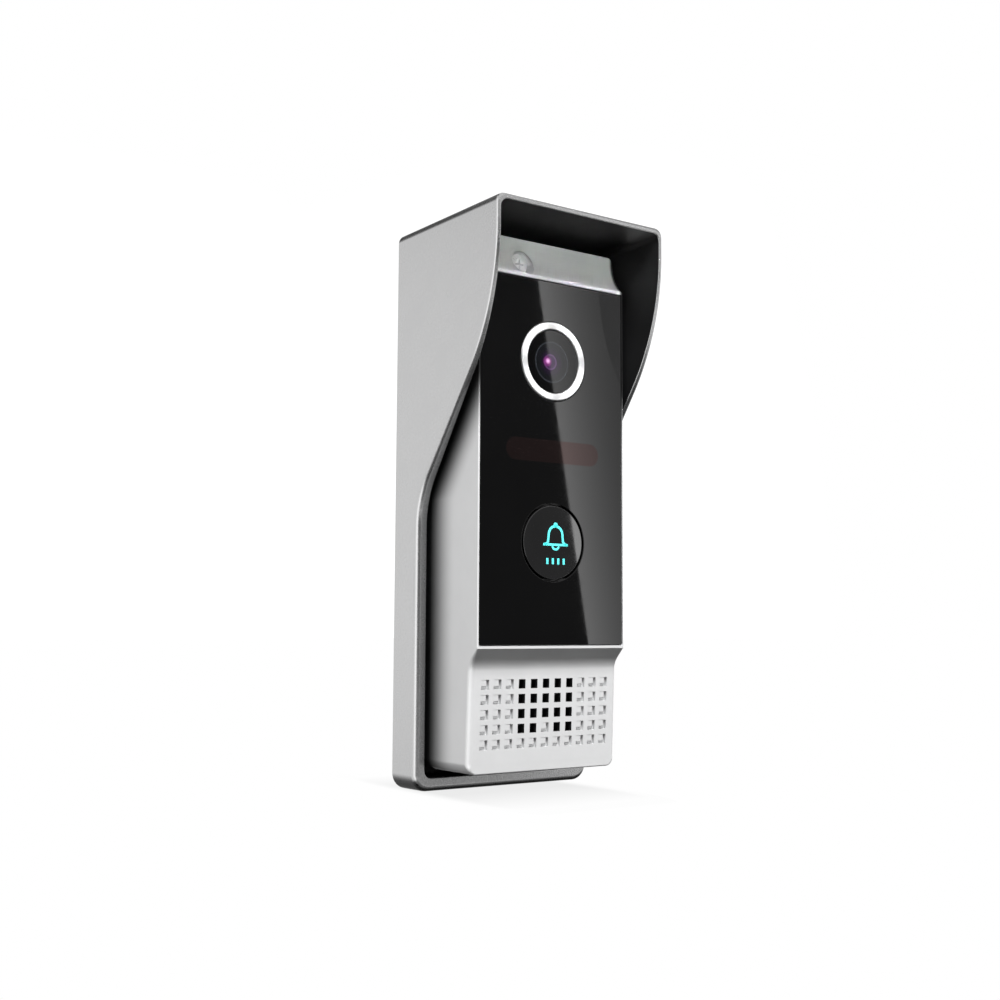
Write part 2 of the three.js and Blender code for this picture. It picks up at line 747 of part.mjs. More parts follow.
// A five millimetre lamp body with its dome towards the window, base at y = 0.
function ledBody(radius, length) {
  const flange = radius + 0.3;
  const dome = domeProfile(radius, -length, -length + radius * 0.8, 2);
  return turned([...dome, [radius, -0.8], [flange, -0.8], [flange, 0], [0, 0]], [0, 0], 10);
}

// Four-way header: the pins are moulded into the floor of its socket.
function cableHeader() {
  const back = MAIN_BOARD_BACK + GAP;
  const shell = box(-6.4, back, CABLE_Z - 3, 6.4, -5, CABLE_Z + 3);
  const socket = box(-5.5, -9.5, CABLE_Z - 2.1, 5.5, -4, CABLE_Z + 2.1);
  const pins = [-1.5, -0.5, 0.5, 1.5].map((place) => {
    const x = place * 2.5;
    return box(x - 0.32, -9.8, CABLE_Z - 0.32, x + 0.32, -5.8, CABLE_Z + 0.32);
  });
  return union([shell.subtract(socket), ...pins]);
}

function trimmerBody() {
  const [x, z] = TRIMMER;
  const body = box(x - 3.2, MAIN_BOARD_BACK + GAP, z - 3.5, x + 3.2, -8.1, z + 3.5);
  return body.subtract(disc(2.2, -9.5, -7, TRIMMER, 20));
}

function trimmerRotor() {
  const [x, z] = TRIMMER;
  const knob = disc(1.9, -9.3, -7.5, TRIMMER, 20);
  return knob.subtract(box(x - 1.4, -8.1, z - 0.3, x + 1.4, -7, z + 0.3));
}

// ---------------------------------------------------------------- call button

// Cap with a skirt, a retaining flange behind the panel and a stem that reaches the switch.
function callButton() {
  const skirtInner = 7.4;
  const flangeFront = PANEL_BACK + 0.4;
  const flangeBack = flangeFront + 0.8;
  const capInside = PANEL_FRONT + 1.2;
  return turned(
    [
      [0, PANEL_FRONT],
      [BUTTON_RADIUS, PANEL_FRONT],
      [BUTTON_RADIUS, flangeFront],
      [BUTTON_FLANGE_RADIUS, flangeFront],
      [BUTTON_FLANGE_RADIUS, flangeBack],
      [skirtInner, flangeBack],
      [skirtInner, capInside],
      [BUTTON_STEM_RADIUS, capInside],
      [BUTTON_STEM_RADIUS, BUTTON_STEM_END],
      [0, BUTTON_STEM_END],
    ],
    [0, BUTTON_Z],
    40,
  );
}

function buttonDiffuser() {
  return ring(7.1, BUTTON_STEM_RADIUS + GAP, -26.8, -25.8, [0, BUTTON_Z], 20);
}

function buttonSeal() {
  return ring(BUTTON_WELL_RADIUS - GAP, 7.4, -24.2, -23.3, [0, BUTTON_Z], 20);
}

function switchBody() {
  const body = box(-3, -16.4, BUTTON_Z - 3, 3, MAIN_BOARD_FRONT - 0.2, BUTTON_Z + 3);
  return body.subtract(disc(2, -18, -14.2, [0, BUTTON_Z], 16));
}

function switchPlunger() {
  return disc(1.7, -18.6, -15.4, [0, BUTTON_Z], 16);
}

// ---------------------------------------------------------------- sound

function speakerFrame() {
  const r = SPEAKER_RADIUS;
  return turned(
    [[r - 1.6, -21.4], [r, -21.4], [r, -20.4], [8.2, -17.4], [2.2, -17.4], [2.2, -18.2], [7.6, -18.2]],
    [0, SPEAKER_Z],
    22,
  );
}

function speakerCone() {
  return turned(
    [[0, -19.6], [2.6, -19.2], [3.4, -19.3], [9.4, -21.7], [9.4, -21.3], [3.2, -18.8], [0, -18.8]],
    [0, SPEAKER_Z],
    20,
  );
}

function speakerMagnet() {
  return disc(6.8, -17.1, -14.1, [0, SPEAKER_Z], 24);
}

function speakerGasket() {
  return ring(SPEAKER_RADIUS - 0.1, 9.9, -22.2, -21.6, [0, SPEAKER_Z], 20);
}

function dustMesh() {
  return disc(SPEAKER_RADIUS - 0.2, -22.7, -22.4, [0, SPEAKER_Z], 28);
}

// Upright rubber cup, open upwards, with a sound hole in its floor.
function microphoneBoot() {
  const low = UNIT_LOW + SHELL_WALL + GAP;
  const profile = [[1.2, low], [4.2, low], [4.2, low + 4.6], [3.3, low + 4.6], [3.3, low + 0.9], [1.2, low + 0.9]];
  return upright(profile, 16);
}

function microphone() {
  const low = MICROPHONE_LOW + 0.3;
  return upright([[0, low], [3, low], [3, low + 2.8], [0, low + 2.8]], 16);
}

// Closed profile of [radius, z] points, turned about the microphone's upright axis.
function upright(profile, segments) {
  const points = profile.map(([radius, z]) => new THREE.Vector2(radius, z));
  if (profile[0][0] > 0) {
    points.push(points[0].clone());
  }
  const geometry = new THREE.LatheGeometry(points, segments).rotateX(Math.PI / 2);
  return solidFrom(geometry.translate(0, MICROPHONE_Y, 0));
}

// ---------------------------------------------------------------- screws

// Cross-head screw along Y. Its head faces y = 0 and its shank runs to y = length.
function crossScrew({ head, headHeight, shank, length, sunk = false }) {
  const underHead = sunk ? shank : head;
  const blank = turned(
    [[0, 0], [head, 0], [underHead, headHeight], [shank, headHeight + 0.01], [shank, length], [0, length]],
    [0, 0],
    12,
  );
  const arm = head * 0.6;
  const slot = head * 0.14;
  const depth = headHeight * 0.6;
  const recess = box(-arm, -1, -slot, arm, depth, slot).add(box(-slot, -1, -arm, slot, depth, arm));
  return blank.subtract(recess);
}

// The same screw with its head to the rear, as seen from behind the unit.
function rearScrew(size) {
  return crossScrew(size).rotate([180, 0, 0]);
}

// ---------------------------------------------------------------- assembly

const intercom = new THREE.Group();

function add(name, solid, material, position = [0, 0, 0]) {
  const mesh = new THREE.Mesh(geometryFrom(solid), material);
  mesh.name = name;
  mesh.position.set(...position);
  intercom.add(mesh);
}

add('rain_hood', rainHood(), SILVER_PAINT);
add('cable_grommet', cableGrommet(), RUBBER);
add('mounting_bracket', mountingBracket(), STEEL);
const bracketScrew = crossScrew({ head: 2.6, headHeight: 1, shank: 1.2, length: 3.2, sunk: true });
BRACKET_SCREWS_Z.forEach((z, index) => {
  add(`bracket_screw_${index + 1}`, bracketScrew, STEEL, [0, -3.75, z]);
});

add('front_housing', frontHousing(), SILVER_PAINT);
add('front_panel', frontPanel(), BLACK_ACRYLIC);
add('rear_cover', rearCover(), BLACK_PLASTIC);
add('cover_gasket', coverGasket(), RUBBER);
const housingScrew = rearScrew({ head: 2.2, headHeight: 1, shank: 1.15, length: 12 });
HOUSING_SCREWS.forEach(([x, z], index) => {
  add(`housing_screw_${index + 1}`, housingScrew, STEEL, [x, -4.4, z]);
});
const fixingScrew = crossScrew({ head: 2.6, headHeight: 1.5, shank: 1.35, length: 18, sunk: true });
add('fixing_screw', fixingScrew, STEEL, [FIXING_SCREW[0], -24.5, FIXING_SCREW[1]]);

add('lens_ring', lensRing(), CHROME);
add('lens_window', lensWindow(), CLEAR_GLASS);
add('lens_barrel', lensBarrel(), BLACK_METAL);
add('lens_front_element', frontElement(), CLEAR_GLASS);
add('lens_inner_element', innerElement(), COATED_GLASS);
add('lens_holder', lensHolder(), BLACK_PLASTIC);
add('camera_board', cameraBoard(), BOARD);
add('image_sensor', box(-4.3, -11.3, LENS_Z - 3.5, 4.3, -10.4, LENS_Z + 3.5), CHIP);
add('image_processor', box(-4.5, -8.4, 37.5, 4.5, -7.4, 46.5), CHIP);
add('camera_ribbon', cameraRibbon(), WHITE_PLASTIC);
const holderScrew = rearScrew({ head: 1.7, headHeight: 0.8, shank: 0.8, length: 4.2 });
[-HOLDER_SCREW_X, HOLDER_SCREW_X].forEach((x, index) => {
  add(`holder_screw_${index + 1}`, holderScrew, STEEL, [x, -7.5, LENS_Z]);
});
const boardScrew = rearScrew({ head: 2.1, headHeight: 1, shank: 1, length: 6.5 });
CAMERA_BOARD_SCREWS.forEach(([x, z], index) => {
  add(`camera_board_screw_${index + 1}`, boardScrew, STEEL, [x, CAMERA_BOARD_BACK + 1.2, z]);
});

add('ir_window', facePrism(stadium(IR_WINDOW_WIDTH, IR_WINDOW_HEIGHT), -26, -24.7, 8), RED_FILTER);
add('ir_board', irBoard(), BOARD);
add('ir_board_header', box(-6, -18.8, IR_Z - 1.3, 6, -12.6, IR_Z + 1.3), BLACK_PLASTIC);
IR_LED_X.forEach((x, index) => {
  add(`ir_led_${index + 1}`, ledBody(1.5, 3.7), LED_EPOXY, [x, IR_BOARD_FRONT - 0.2, IR_Z]);
});
add('light_sensor', ledBody(1.2, 3), CLEAR_GLASS, [0, IR_BOARD_FRONT - 0.2, IR_Z]);

add('call_button', callButton(), BLACK_ACRYLIC);
add('button_diffuser', buttonDiffuser(), DIFFUSER);
add('button_seal', buttonSeal(), RUBBER);
add('switch_body', switchBody(), BLACK_PLASTIC);
add('switch_plunger', switchPlunger(), WHITE_PLASTIC);
[-5, 5].forEach((x, index) => {
  add(`button_led_${index + 1}`, box(-1, -1, -1.6, 1, 0, 1.6), WHITE_PLASTIC, [x, -12.6, BUTTON_Z]);
});

add('main_board', mainBoard(), BOARD);
MAIN_BOARD_SCREWS.forEach(([x, z], index) => {
  add(`main_board_screw_${index + 1}`, boardScrew, STEEL, [x, MAIN_BOARD_BACK + 1.2, z]);
});
add('filter_capacitor', disc(3.1, -18.2, -12.6, [9.5, -25], 20), BLACK_PLASTIC);
add('audio_chip', box(-9, -14, -26, -3, -12.6, -21), CHIP);
add('cable_header', cableHeader(), WHITE_PLASTIC);
add('volume_trimmer_body', trimmerBody(), BLACK_PLASTIC);
add('volume_trimmer_rotor', trimmerRotor(), WHITE_PLASTIC);

add('speaker_frame', speakerFrame(), STEEL);
add('speaker_cone', speakerCone(), CREAM_PAPER);
add('speaker_magnet', speakerMagnet(), BLACK_METAL);
add('speaker_gasket', speakerGasket(), FOAM);
add('dust_mesh', dustMesh(), MESH_CLOTH);
add('microphone_boot', microphoneBoot(), RUBBER);
add('microphone', microphone(), STEEL);

export default intercom;
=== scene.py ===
import json
import math

import bmesh
import bpy
from mathutils import Matrix, Vector


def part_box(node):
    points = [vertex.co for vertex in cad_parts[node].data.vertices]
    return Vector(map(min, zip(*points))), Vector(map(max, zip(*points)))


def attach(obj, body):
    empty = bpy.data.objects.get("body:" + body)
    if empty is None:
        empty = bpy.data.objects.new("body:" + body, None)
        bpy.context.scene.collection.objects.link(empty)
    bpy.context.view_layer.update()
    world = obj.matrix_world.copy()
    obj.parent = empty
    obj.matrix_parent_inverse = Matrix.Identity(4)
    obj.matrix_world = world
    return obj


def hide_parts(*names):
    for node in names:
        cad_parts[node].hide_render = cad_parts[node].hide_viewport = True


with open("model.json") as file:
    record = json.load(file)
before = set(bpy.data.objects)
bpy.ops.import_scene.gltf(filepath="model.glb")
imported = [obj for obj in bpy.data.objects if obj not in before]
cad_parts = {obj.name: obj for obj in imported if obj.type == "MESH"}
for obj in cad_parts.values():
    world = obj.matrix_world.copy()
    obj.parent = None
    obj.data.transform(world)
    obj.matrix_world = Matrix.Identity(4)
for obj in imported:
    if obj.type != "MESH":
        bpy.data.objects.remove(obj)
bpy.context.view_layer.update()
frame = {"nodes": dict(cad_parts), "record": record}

MM = 0.001

# ---- sizes, in millimetres


def box_mm(node):
    """Lowest and highest corner of a CAD node."""
    low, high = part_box(node)
    return low / MM, high / MM


HOOD_LOW, HOOD_HIGH = box_mm("rain_hood")
UNIT_LOW, UNIT_HIGH = box_mm("front_housing")
PANEL_LOW, PANEL_HIGH = box_mm("front_panel")
RING_LOW, RING_HIGH = box_mm("lens_ring")
BUTTON_LOW, BUTTON_HIGH = box_mm("call_button")
WINDOW_LOW, WINDOW_HIGH = box_mm("ir_window")
SCREW_LOW, SCREW_HIGH = box_mm("fixing_screw")

# Rain hood
HOOD_HALF = HOOD_HIGH.x
HOOD_DEPTH = -HOOD_LOW.y
LIP_HALF = 24.5
LIP_RISE = 0.95
HOOD_ROOF = HOOD_HIGH.z - LIP_RISE
BACK_PLATE = 2.5
TRAY_DEPTH = 9.4
TRAY_WALL = 3.4
LIP_WALL = 1.1
ROOF_WALL = 1.35
FLOOR_WALL = 3.1
HOOD_LOW_RADIUS = 3.8
HOOD_HIGH_RADIUS = 2.2
CAVITY_RADIUS = 1.8
LIP_BEND_Z = 43.0
LIP_BEND_RADIUS = 55.0
TRAY_BEND_Z = 1.1
TRAY_BEND_RADIUS = 19.3
LIP_ROUNDING = 0.7
TRAY_ROUNDING = 1.6
INNER_ROUNDING = 0.25
REAR_ROUNDING = 0.35
FLOOR_FILLET = 0.7
WALL_SCREW_Z = 50.0
WALL_SCREW_RADIUS = 2.3
WALL_SCREW_SINK = 4.2
BRACKET_SCREWS_Z = (-6.0, 32.0)
BRACKET_SCREW_HOLE = 1.5
CABLE_Z = -25.0
CABLE_HOLE_RADIUS = 8.0
PAINT_INSET_BACK = 1.4
PAINT_INSET_LIP = 0.5

# Front housing
UNIT_HALF = UNIT_HIGH.x
UNIT_FRONT = UNIT_LOW.y
UNIT_BACK = UNIT_HIGH.y
UNIT_LOW_RADIUS = 2.5
UNIT_HIGH_RADIUS = 1.6
SHELL_WALL = 1.8
INNER_FRONT = -22.9
FLANGE_FRONT = -24.8
FLANGE_START_Z = 53.7
FLANGE_ARC_RADIUS = 10.6
FLANGE_ARC_Z = 61.5
CHIN_START_Z = -33.25
CHIN_STEP_Z = -36.7
CHIN_STEP_Y = -25.9
CHIN_FOOT_Y = -24.9
CHIN_FILLET = 5.0
SIDE_ROUNDING = 0.32
CHIN_ROUNDING = 1.4
PANEL_SEAT = -26.15
SKIRT_FRONT = -9.3
RECESS_GAP = 0.15
SHADE_START = -1.5
SHADE_END = 10.0
EDGE_BREAK = 0.1
LEDGE_ROUNDING = 0.25
FLANGE_SPLIT = 3.6
COVER_SEAT_FRONT = -6.9
HOLES_END = -20
LENS_HOLE_RADIUS = 6.9
MICROPHONE_RADIUS = 0.8

# Grille
GRILLE_Z = -48.05
GRILLE_COLUMNS = 11
GRILLE_ROWS = 5
GRILLE_PITCH_X = 3.45
GRILLE_PITCH_Z = 3.37
GRILLE_SQUARE = 2.2
GRILLE_WALL = 1.0
POCKET_DEPTH = 0.7
POCKET_STEP = 0.06
SLOPE_START = 0.6
SLOPE_END = 0.97
OPEN_WIDTH = 1.75
OPEN_HEIGHT = 2.0
OPEN_FLARE = 0.07
SPEAKER_Z = -46.9
SPEAKER_RADIUS = 11.5

# Panel, camera and button
PANEL_FRONT = PANEL_LOW.y
LENS_Z = (RING_LOW.z + RING_HIGH.z) / 2
RING_RADIUS = RING_HIGH.x - 0.22
RING_INNER_RADIUS = 7.65
RING_FRONT = RING_LOW.y
RING_BACK = RING_HIGH.y
BUTTON_Z = (BUTTON_LOW.z + BUTTON_HIGH.z) / 2
BUTTON_RADIUS = 8.54
BUTTON_HOLE_RADIUS = 9.13
BUTTON_WELL_RADIUS = 9.8
IR_Z = (WINDOW_LOW.z + WINDOW_HIGH.z) / 2
IR_HALF_WIDTH = WINDOW_HIGH.x
IR_RADIUS = (WINDOW_HIGH.z - WINDOW_LOW.z) / 2
SCREW_X = (SCREW_LOW.x + SCREW_HIGH.x) / 2
SCREW_Z = (SCREW_LOW.z + SCREW_HIGH.z) / 2
SCREW_FRONT = SCREW_LOW.y
SCREW_HEAD_RADIUS = SCREW_HIGH.x - SCREW_X

ROUND_STEPS = 5
FINE_SEGMENTS = 128

# ---- mesh helpers


def in_scene(name, data):
    obj = bpy.data.objects.new(name, data)
    bpy.context.scene.collection.objects.link(obj)
    return obj


def new_object(name, vertices, faces):
    """A mesh object in millimetres, its normals turned outwards."""
    mesh = bpy.data.meshes.new(name)
    mesh.from_pydata([tuple(v) for v in vertices], [], faces)
    build = bmesh.new()
    build.from_mesh(mesh)
    bmesh.ops.remove_doubles(build, verts=build.verts, dist=1e-5)
    bmesh.ops.recalc_face_normals(build, faces=build.faces)
    build.to_mesh(mesh)
    build.free()
    return in_scene(name, mesh)


def apply_modifiers(obj):
    """Makes the object's modifiers part of its mesh."""
    bpy.context.view_layer.update()
    evaluated = obj.evaluated_get(bpy.context.evaluated_depsgraph_get())
    mesh = bpy.data.meshes.new_from_object(evaluated)
    obj.modifiers.clear()
    old = obj.data
    obj.data = mesh
    bpy.data.meshes.remove(old)
    return obj


def combine(obj, tools, operation="DIFFERENCE"):
    """Cuts the tools from the object, or joins them to it, and removes them."""
    for tool in tools:
        modifier = obj.modifiers.new("combine", "BOOLEAN")
        modifier.operation = operation
        modifier.solver = "EXACT"
        modifier.object = tool
    apply_modifiers(obj)
    for tool in tools:
        bpy.data.objects.remove(tool)
    return obj


def bevel(obj, width, angle=50, segments=2):
    modifier = obj.modifiers.new("edges", "BEVEL")
    modifier.width = width
    modifier.segments = segments
    modifier.limit_method = "ANGLE"
    modifier.angle_limit = math.radians(angle)
    modifier.miter_outer = "MITER_ARC"
    return apply_modifiers(obj)


def rounding(radius, steps=ROUND_STEPS):
    """Offsets (along, inwards) of a quarter round, from a face to its neighbour."""
    turns = [math.pi / 2 * i / steps for i in range(steps + 1)]
    return [(radius * (1 - math.sin(a)), radius * (1 - math.cos(a))) for a in turns]


def arc(centre, radius, start, end, steps):
    """Points (u, v) along an arc, angles in radians."""
    points = []
    for i in range(steps + 1):
        turn = start + (end - start) * i / steps
        points.append((centre[0] + radius * math.cos(turn), centre[1] + radius * math.sin(turn)))
    return points


def half_loop(half, low, high, low_radius, high_radius, levels, steps=8):
    """Right half of a rounded rectangle, from its foot up, as (x, z, normal x, normal z)."""
    turns = [math.pi / 2 * i / steps for i in range(steps + 1)]

    def corner(radius, height, normals):
        return [(half - radius + radius * nx, height + radius * nz, nx, nz) for nx, nz in normals]

    points = [(0.0, low, 0.0, -1.0)]
    points += corner(low_radius, low + low_radius, [(math.sin(a), -math.cos(a)) for a in turns])
    points += [(half, z, 1.0, 0.0) for z in levels]
    points += corner(high_radius, high - high_radius, [(math.cos(a), math.sin(a)) for a in turns])
    points.append((0.0, high, 0.0, 1.0))
    return points


def whole_loop(half):
    """The half loop and its mirror image, once round."""
    mirrored = [(-x, z, -nx, nz) for x, z, nx, nz in reversed(half[1:-1])]
    return half + mirrored


def grid_faces(columns, rows):
    """Quads between neighbouring columns of a closed band."""
    faces = []
    for c in range(columns):
        a, b = c * rows, ((c + 1) % columns) * rows
        faces += [(a + r, b + r, b + r + 1, a + r + 1) for r in range(rows - 1)]
    return faces


def band(near, far):
    """Quads between two rings of corners."""
    turns = zip(near, near[1:] + near[:1], far[1:] + far[:1], far)
    return [tuple(corners) for corners in turns]


def skin(sections):
    """Vertices and faces of a closed band of sections with one face over their first points."""
    columns, rows = len(sections), len(sections[0])
    faces = grid_faces(columns, rows)
    faces.append(tuple(c * rows for c in range(columns)))
    return [point for section in sections for point in section], faces, rows


def prism(name, loop, y_front, y_back):
    """Solid between two depths with a loop of (x, z) as its outline."""
    count = len(loop)
    vertices = [(p[0], y_front, p[1]) for p in loop] + [(p[0], y_back, p[1]) for p in loop]
    front, back = list(range(count)), list(range(count, 2 * count))
    faces = [tuple(front), tuple(back)] + band(front, back)
    return new_object(name, vertices, faces)


def rounded_prism(name, half, low, high, low_radius, high_radius, y_front, y_back):
    loop = whole_loop(half_loop(half, low, high, low_radius, high_radius, []))
    return prism(name, loop, y_front, y_back)


def hull_box(name, front, back):
    """Block between two rectangles, each (x low, x high, z low, z high, y low, y high)."""
    vertices = []
    for x_low, x_high, z_low, z_high, y_low, y_high in (front, back):
        vertices += [
            (x_low, y_low, z_low), (x_high, y_low, z_low),
            (x_high, y_high, z_high), (x_low, y_high, z_high),
        ]
    faces = [(0, 1, 2, 3), (4, 5, 6, 7), (0, 1, 5, 4), (1, 2, 6, 5), (2, 3, 7, 6), (3, 0, 4, 7)]
    return new_object(name, vertices, faces)


def level_frame(x, half_x, z, half_z, y):
    """Rectangle for hull_box, centred on x, z at one depth."""
    return x - half_x, x + half_x, z - half_z, z + half_z, y, y


def lathe(name, profile, centre, segments=FINE_SEGMENTS):
    """Closed profile of (radius, y) turned about a line along Y through centre (x, z)."""
    vertices, rings = [], []
    for radius, y in profile:
        if radius == 0:
            rings.append([len(vertices)] * segments)
            vertices.append((centre[0], y, centre[1]))
            continue
        rings.append(list(range(len(vertices), len(vertices) + segments)))
        for i in range(segments):
            turn = 2 * math.pi * i / segments
            x, z = centre[0] + radius * math.cos(turn), centre[1] + radius * math.sin(turn)
            vertices.append((x, y, z))
    closed = profile[0][0] > 0
    pairs = list(zip(rings, rings[1:] + rings[:1] if closed else rings[1:]))
    faces = []
    for near, far in pairs:
        for quad in band(near, far):
            corners = tuple(dict.fromkeys(quad))
            if len(corners) > 2:
                faces.append(corners)
    return new_object(name, vertices, faces)


def cylinder(name, radius, y_front, y_back, centre, segments=48):
    profile = [(0, y_front), (radius, y_front), (radius, y_back), (0, y_back)]
    return lathe(name, profile, centre, segments)


def shade(obj, angle=32):
    """Smooth shading with the true corners kept sharp."""
    obj.data.shade_smooth()
    obj.data.set_sharp_from_angle(angle=math.radians(angle))
    modifier = obj.modifiers.new("normals", "WEIGHTED_NORMAL")
    modifier.keep_sharp = True
    modifier.weight = 90
    return apply_modifiers(obj)


def settle(obj, body, replaced=(), materials=()):
    """Scales the piece to metres, adds its materials, parents it to its body and hides the parts
    it replaces.
    """
    obj.data.transform(Matrix.Scale(MM, 4))
    for material in materials:
        obj.data.materials.append(material)
    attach(obj, body)
    if replaced:
        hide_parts(*replaced)
    return obj


# ---- materials


class Nodes:
    """Short calls for building one material's or world's node tree."""

    def __init__(self, name, library=bpy.data.materials):
        self.owner = library.new(name)
        self.owner.use_nodes = True
        self.tree = self.owner.node_tree
        self.shader = self.tree.nodes.get("Principled BSDF")

    def add(self, kind, **values):
        node = self.tree.nodes.new(kind)
        for key, value in values.items():
            if hasattr(node, key):
                setattr(node, key, value)
            else:
                node.inputs[key.replace("_", " ")].default_value = value
        return node

    def link(self, source, target):
        self.tree.links.new(source, target)

    def place(self):
        return self.add("ShaderNodeTexCoord").outputs["Object"]

    def axes(self):
        """The place's X, Y and Z in metres."""
        parts = self.add("ShaderNodeSeparateXYZ")
        self.link(self.place(), parts.inputs[0])
        return parts.outputs

    def math(self, operation, first, *others):
        """A Math node, or a chain of them where there are more than two values."""
        for other in others or (None,):
            node = self.add("ShaderNodeMath", operation=operation)
            for socket, value in zip(node.inputs, (first, other)):
                if isinstance(value, (int, float)):
                    socket.default_value = value
                elif value is not None:
                    self.link(value, socket)
            first = node.outputs[0]
        return first

    def noise(self, size, detail=4.0):
        """Noise with features about size millimetres across."""
        mapping = self.add("ShaderNodeMapping")
        mapping.inputs["Scale"].default_value = [1 / (size * MM)] * 3
        self.link(self.place(), mapping.inputs["Vector"])
        node = self.add("ShaderNodeTexNoise", noise_dimensions="3D")
        node.inputs["Scale"].default_value = 1.0
        node.inputs["Detail"].default_value = detail
        node.inputs["Roughness"].default_value = 0.55
        self.link(mapping.outputs[0], node.inputs["Vector"])
        return node.outputs["Fac"]

    def spread(self, source, low, high, start=0.3, end=0.7, curve="LINEAR"):
        """Low to high while the source goes from start to end."""
        node = self.add("ShaderNodeMapRange", interpolation_type=curve, From_Min=start,
                        From_Max=end, To_Min=low, To_Max=high)
        self.link(source, node.inputs["Value"])
        return node.outputs["Result"]

    def blend(self, factor, first, second):
        node = self.add("ShaderNodeMix", data_type="RGBA")
        for socket, value in ((node.inputs[6], first), (node.inputs[7], second)):
            if isinstance(value, tuple):
                socket.default_value = (*value, 1.0)
            else:
                self.link(value, socket)
        self.link(factor, node.inputs[0])
        return node.outputs[2]

    def uneven(self, source, colour, low, high):
        """The colour, darkened to low and lightened to high times itself by a noise."""
        return self.blend(self.spread(source, 0.0, 1.0), tinted(colour, low), tinted(colour, high))

    def bump(self, height, distance):
        node = self.add("ShaderNodeBump", Strength=1.0, Distance=distance * MM)
        self.link(height, node.inputs["Height"])
        self.drive(Normal=node.outputs[0])

    def drive(self, **sources):
        """Links a source to each named socket of the shader."""
        for key, source in sources.items():
            self.link(source, self.shader.inputs[key.replace("_", " ")])

    def emit(self, strength):
        """Changes the surface to plain light and returns its shader."""
        self.tree.nodes.remove(self.shader)
        lamp = self.add("ShaderNodeEmission")
        self.link(strength, lamp.inputs["Strength"])
        self.show(lamp)
        return lamp

    def show(self, shader):
        self.link(shader.outputs[0], self.tree.nodes["Material Output"].inputs["Surface"])

    def set(self, **values):
        for key, value in values.items():
            self.shader.inputs[key.replace("_", " ")].default_value = value


def tinted(colour, factor):
    return tuple(min(1.0, c * factor) for c in colour)


def finish(name, colour, roughness, metallic=0.0, grain=0.25, grain_height=0.004, mottle=8.0,
           colour_change=0.06, rough_change=0.05, shade=None, **shader):
    """A surface with fine grain, slow colour change and uneven gloss, with painted shade where a
    shade mask is given.
    """
    nodes = Nodes(name)
    slow = nodes.noise(mottle, detail=3.0)
    fine = nodes.noise(grain, detail=3.0)
    base = nodes.uneven(slow, colour, 1 - colour_change, 1 + colour_change)
    if shade:
        # painted shade: the base colour darkens to 3% of itself where the shade mask is 0
        base = nodes.blend(shade(nodes), tinted(colour, 0.03), base)
    both = nodes.math("ADD", nodes.math("MULTIPLY", slow, 0.5), nodes.math("MULTIPLY", fine, 0.5))
    rough = nodes.spread(both, roughness - rough_change, roughness + rough_change)
    nodes.drive(Base_Color=base, Roughness=rough)
    nodes.bump(fine, grain_height)
    nodes.set(Metallic=metallic, **shader)
    return nodes.owner


def painted_contact_shade(nodes):
    """Painted contact shade on the housing's colour: 0 by the hood's side edge, 1 where the side
    is clear of it.
    """
    x, y, z = nodes.axes()
    tray, lip = -TRAY_DEPTH * MM, -HOOD_DEPTH * MM
    edge = nodes.spread(z, tray, lip, TRAY_BEND_Z * MM, LIP_BEND_Z * MM)
    clear = nodes.math("SUBTRACT", edge, y)
    share = nodes.spread(clear, 0.0, 1.0, SHADE_START * MM, SHADE_END * MM, "SMOOTHSTEP")
    start, end = (UNIT_HALF - 1.2) * MM, (UNIT_HALF - 0.5) * MM
    side = nodes.spread(nodes.math("ABSOLUTE", x), 1.0, 0.0, start, end)
    return nodes.math("MAXIMUM", share, side)


PAINT = {"grain": 0.12, "grain_height": 0.003}
SILVER = {"metallic": 0.3, "colour_change": 0.025, "rough_change": 0.04, **PAINT}
hood_paint = finish("hood_paint", (0.49, 0.49, 0.492), 0.27, metallic=0.97, colour_change=0.02,
                    rough_change=0.03, **PAINT)
silver_paint = finish("silver_paint", (0.68, 0.682, 0.685), 0.42, **SILVER)
# housing paint with a painted contact shade along the hood's side edge
housing_paint_with_painted_shade = finish("housing_paint_with_painted_shade", (0.64, 0.642, 0.645), 0.42, shade=painted_contact_shade, **SILVER)
screw_metal = finish("screw_metal", (0.9, 0.9, 0.905), 0.3, metallic=0.45, grain=0.2,
                     colour_change=0.05)
BLACK = (0.010, 0.010, 0.0105)
hood_inside = finish("hood_inside", BLACK, 0.5, grain=0.2, grain_height=0.006, colour_change=0.15,
                     rough_change=0.06, Specular_IOR_Level=0.25)
black_plastic = finish("black_plastic", BLACK, 0.5, grain=0.15, grain_height=0.006,
                       colour_change=0.15, rough_change=0.08)


def position(nodes, x=0.0, z=0.0):
    """Distances in millimetres from an upright line at x, z."""
    across, _, upward = nodes.axes()
    return [
        nodes.math("SUBTRACT", nodes.math("MULTIPLY", source, 1 / MM), start)
        for source, start in ((across, x), (upward, z))
    ]


def length_of(nodes, u, v):
    squares = nodes.math("ADD", nodes.math("MULTIPLY", u, u), nodes.math("MULTIPLY", v, v))
    return nodes.math("SQRT", squares)


def acrylic(name, colour, ior, tint=(1.0, 1.0, 1.0)):
    """Polished black acrylic with a trace of haze."""
    nodes = Nodes(name)
    nodes.drive(
        Base_Color=nodes.uneven(nodes.noise(14.0, detail=2.0), colour, 0.85, 1.15),
        Roughness=nodes.spread(nodes.noise(2.5), 0.02, 0.035),
    )
    nodes.bump(nodes.noise(9.0, detail=1.0), 0.0001)
    nodes.set(IOR=ior, Specular_Tint=(*tint, 1.0))
    return nodes.owner


panel_acrylic = acrylic("panel_acrylic", (0.0014, 0.0014, 0.0015), 1.5)
filter_acrylic = acrylic("filter_acrylic", (0.0058, 0.0038, 0.0038), 1.5, (0.88, 0.64, 0.62))
button_acrylic = acrylic("button_acrylic", (0.0075, 0.0075, 0.0077), 1.8)


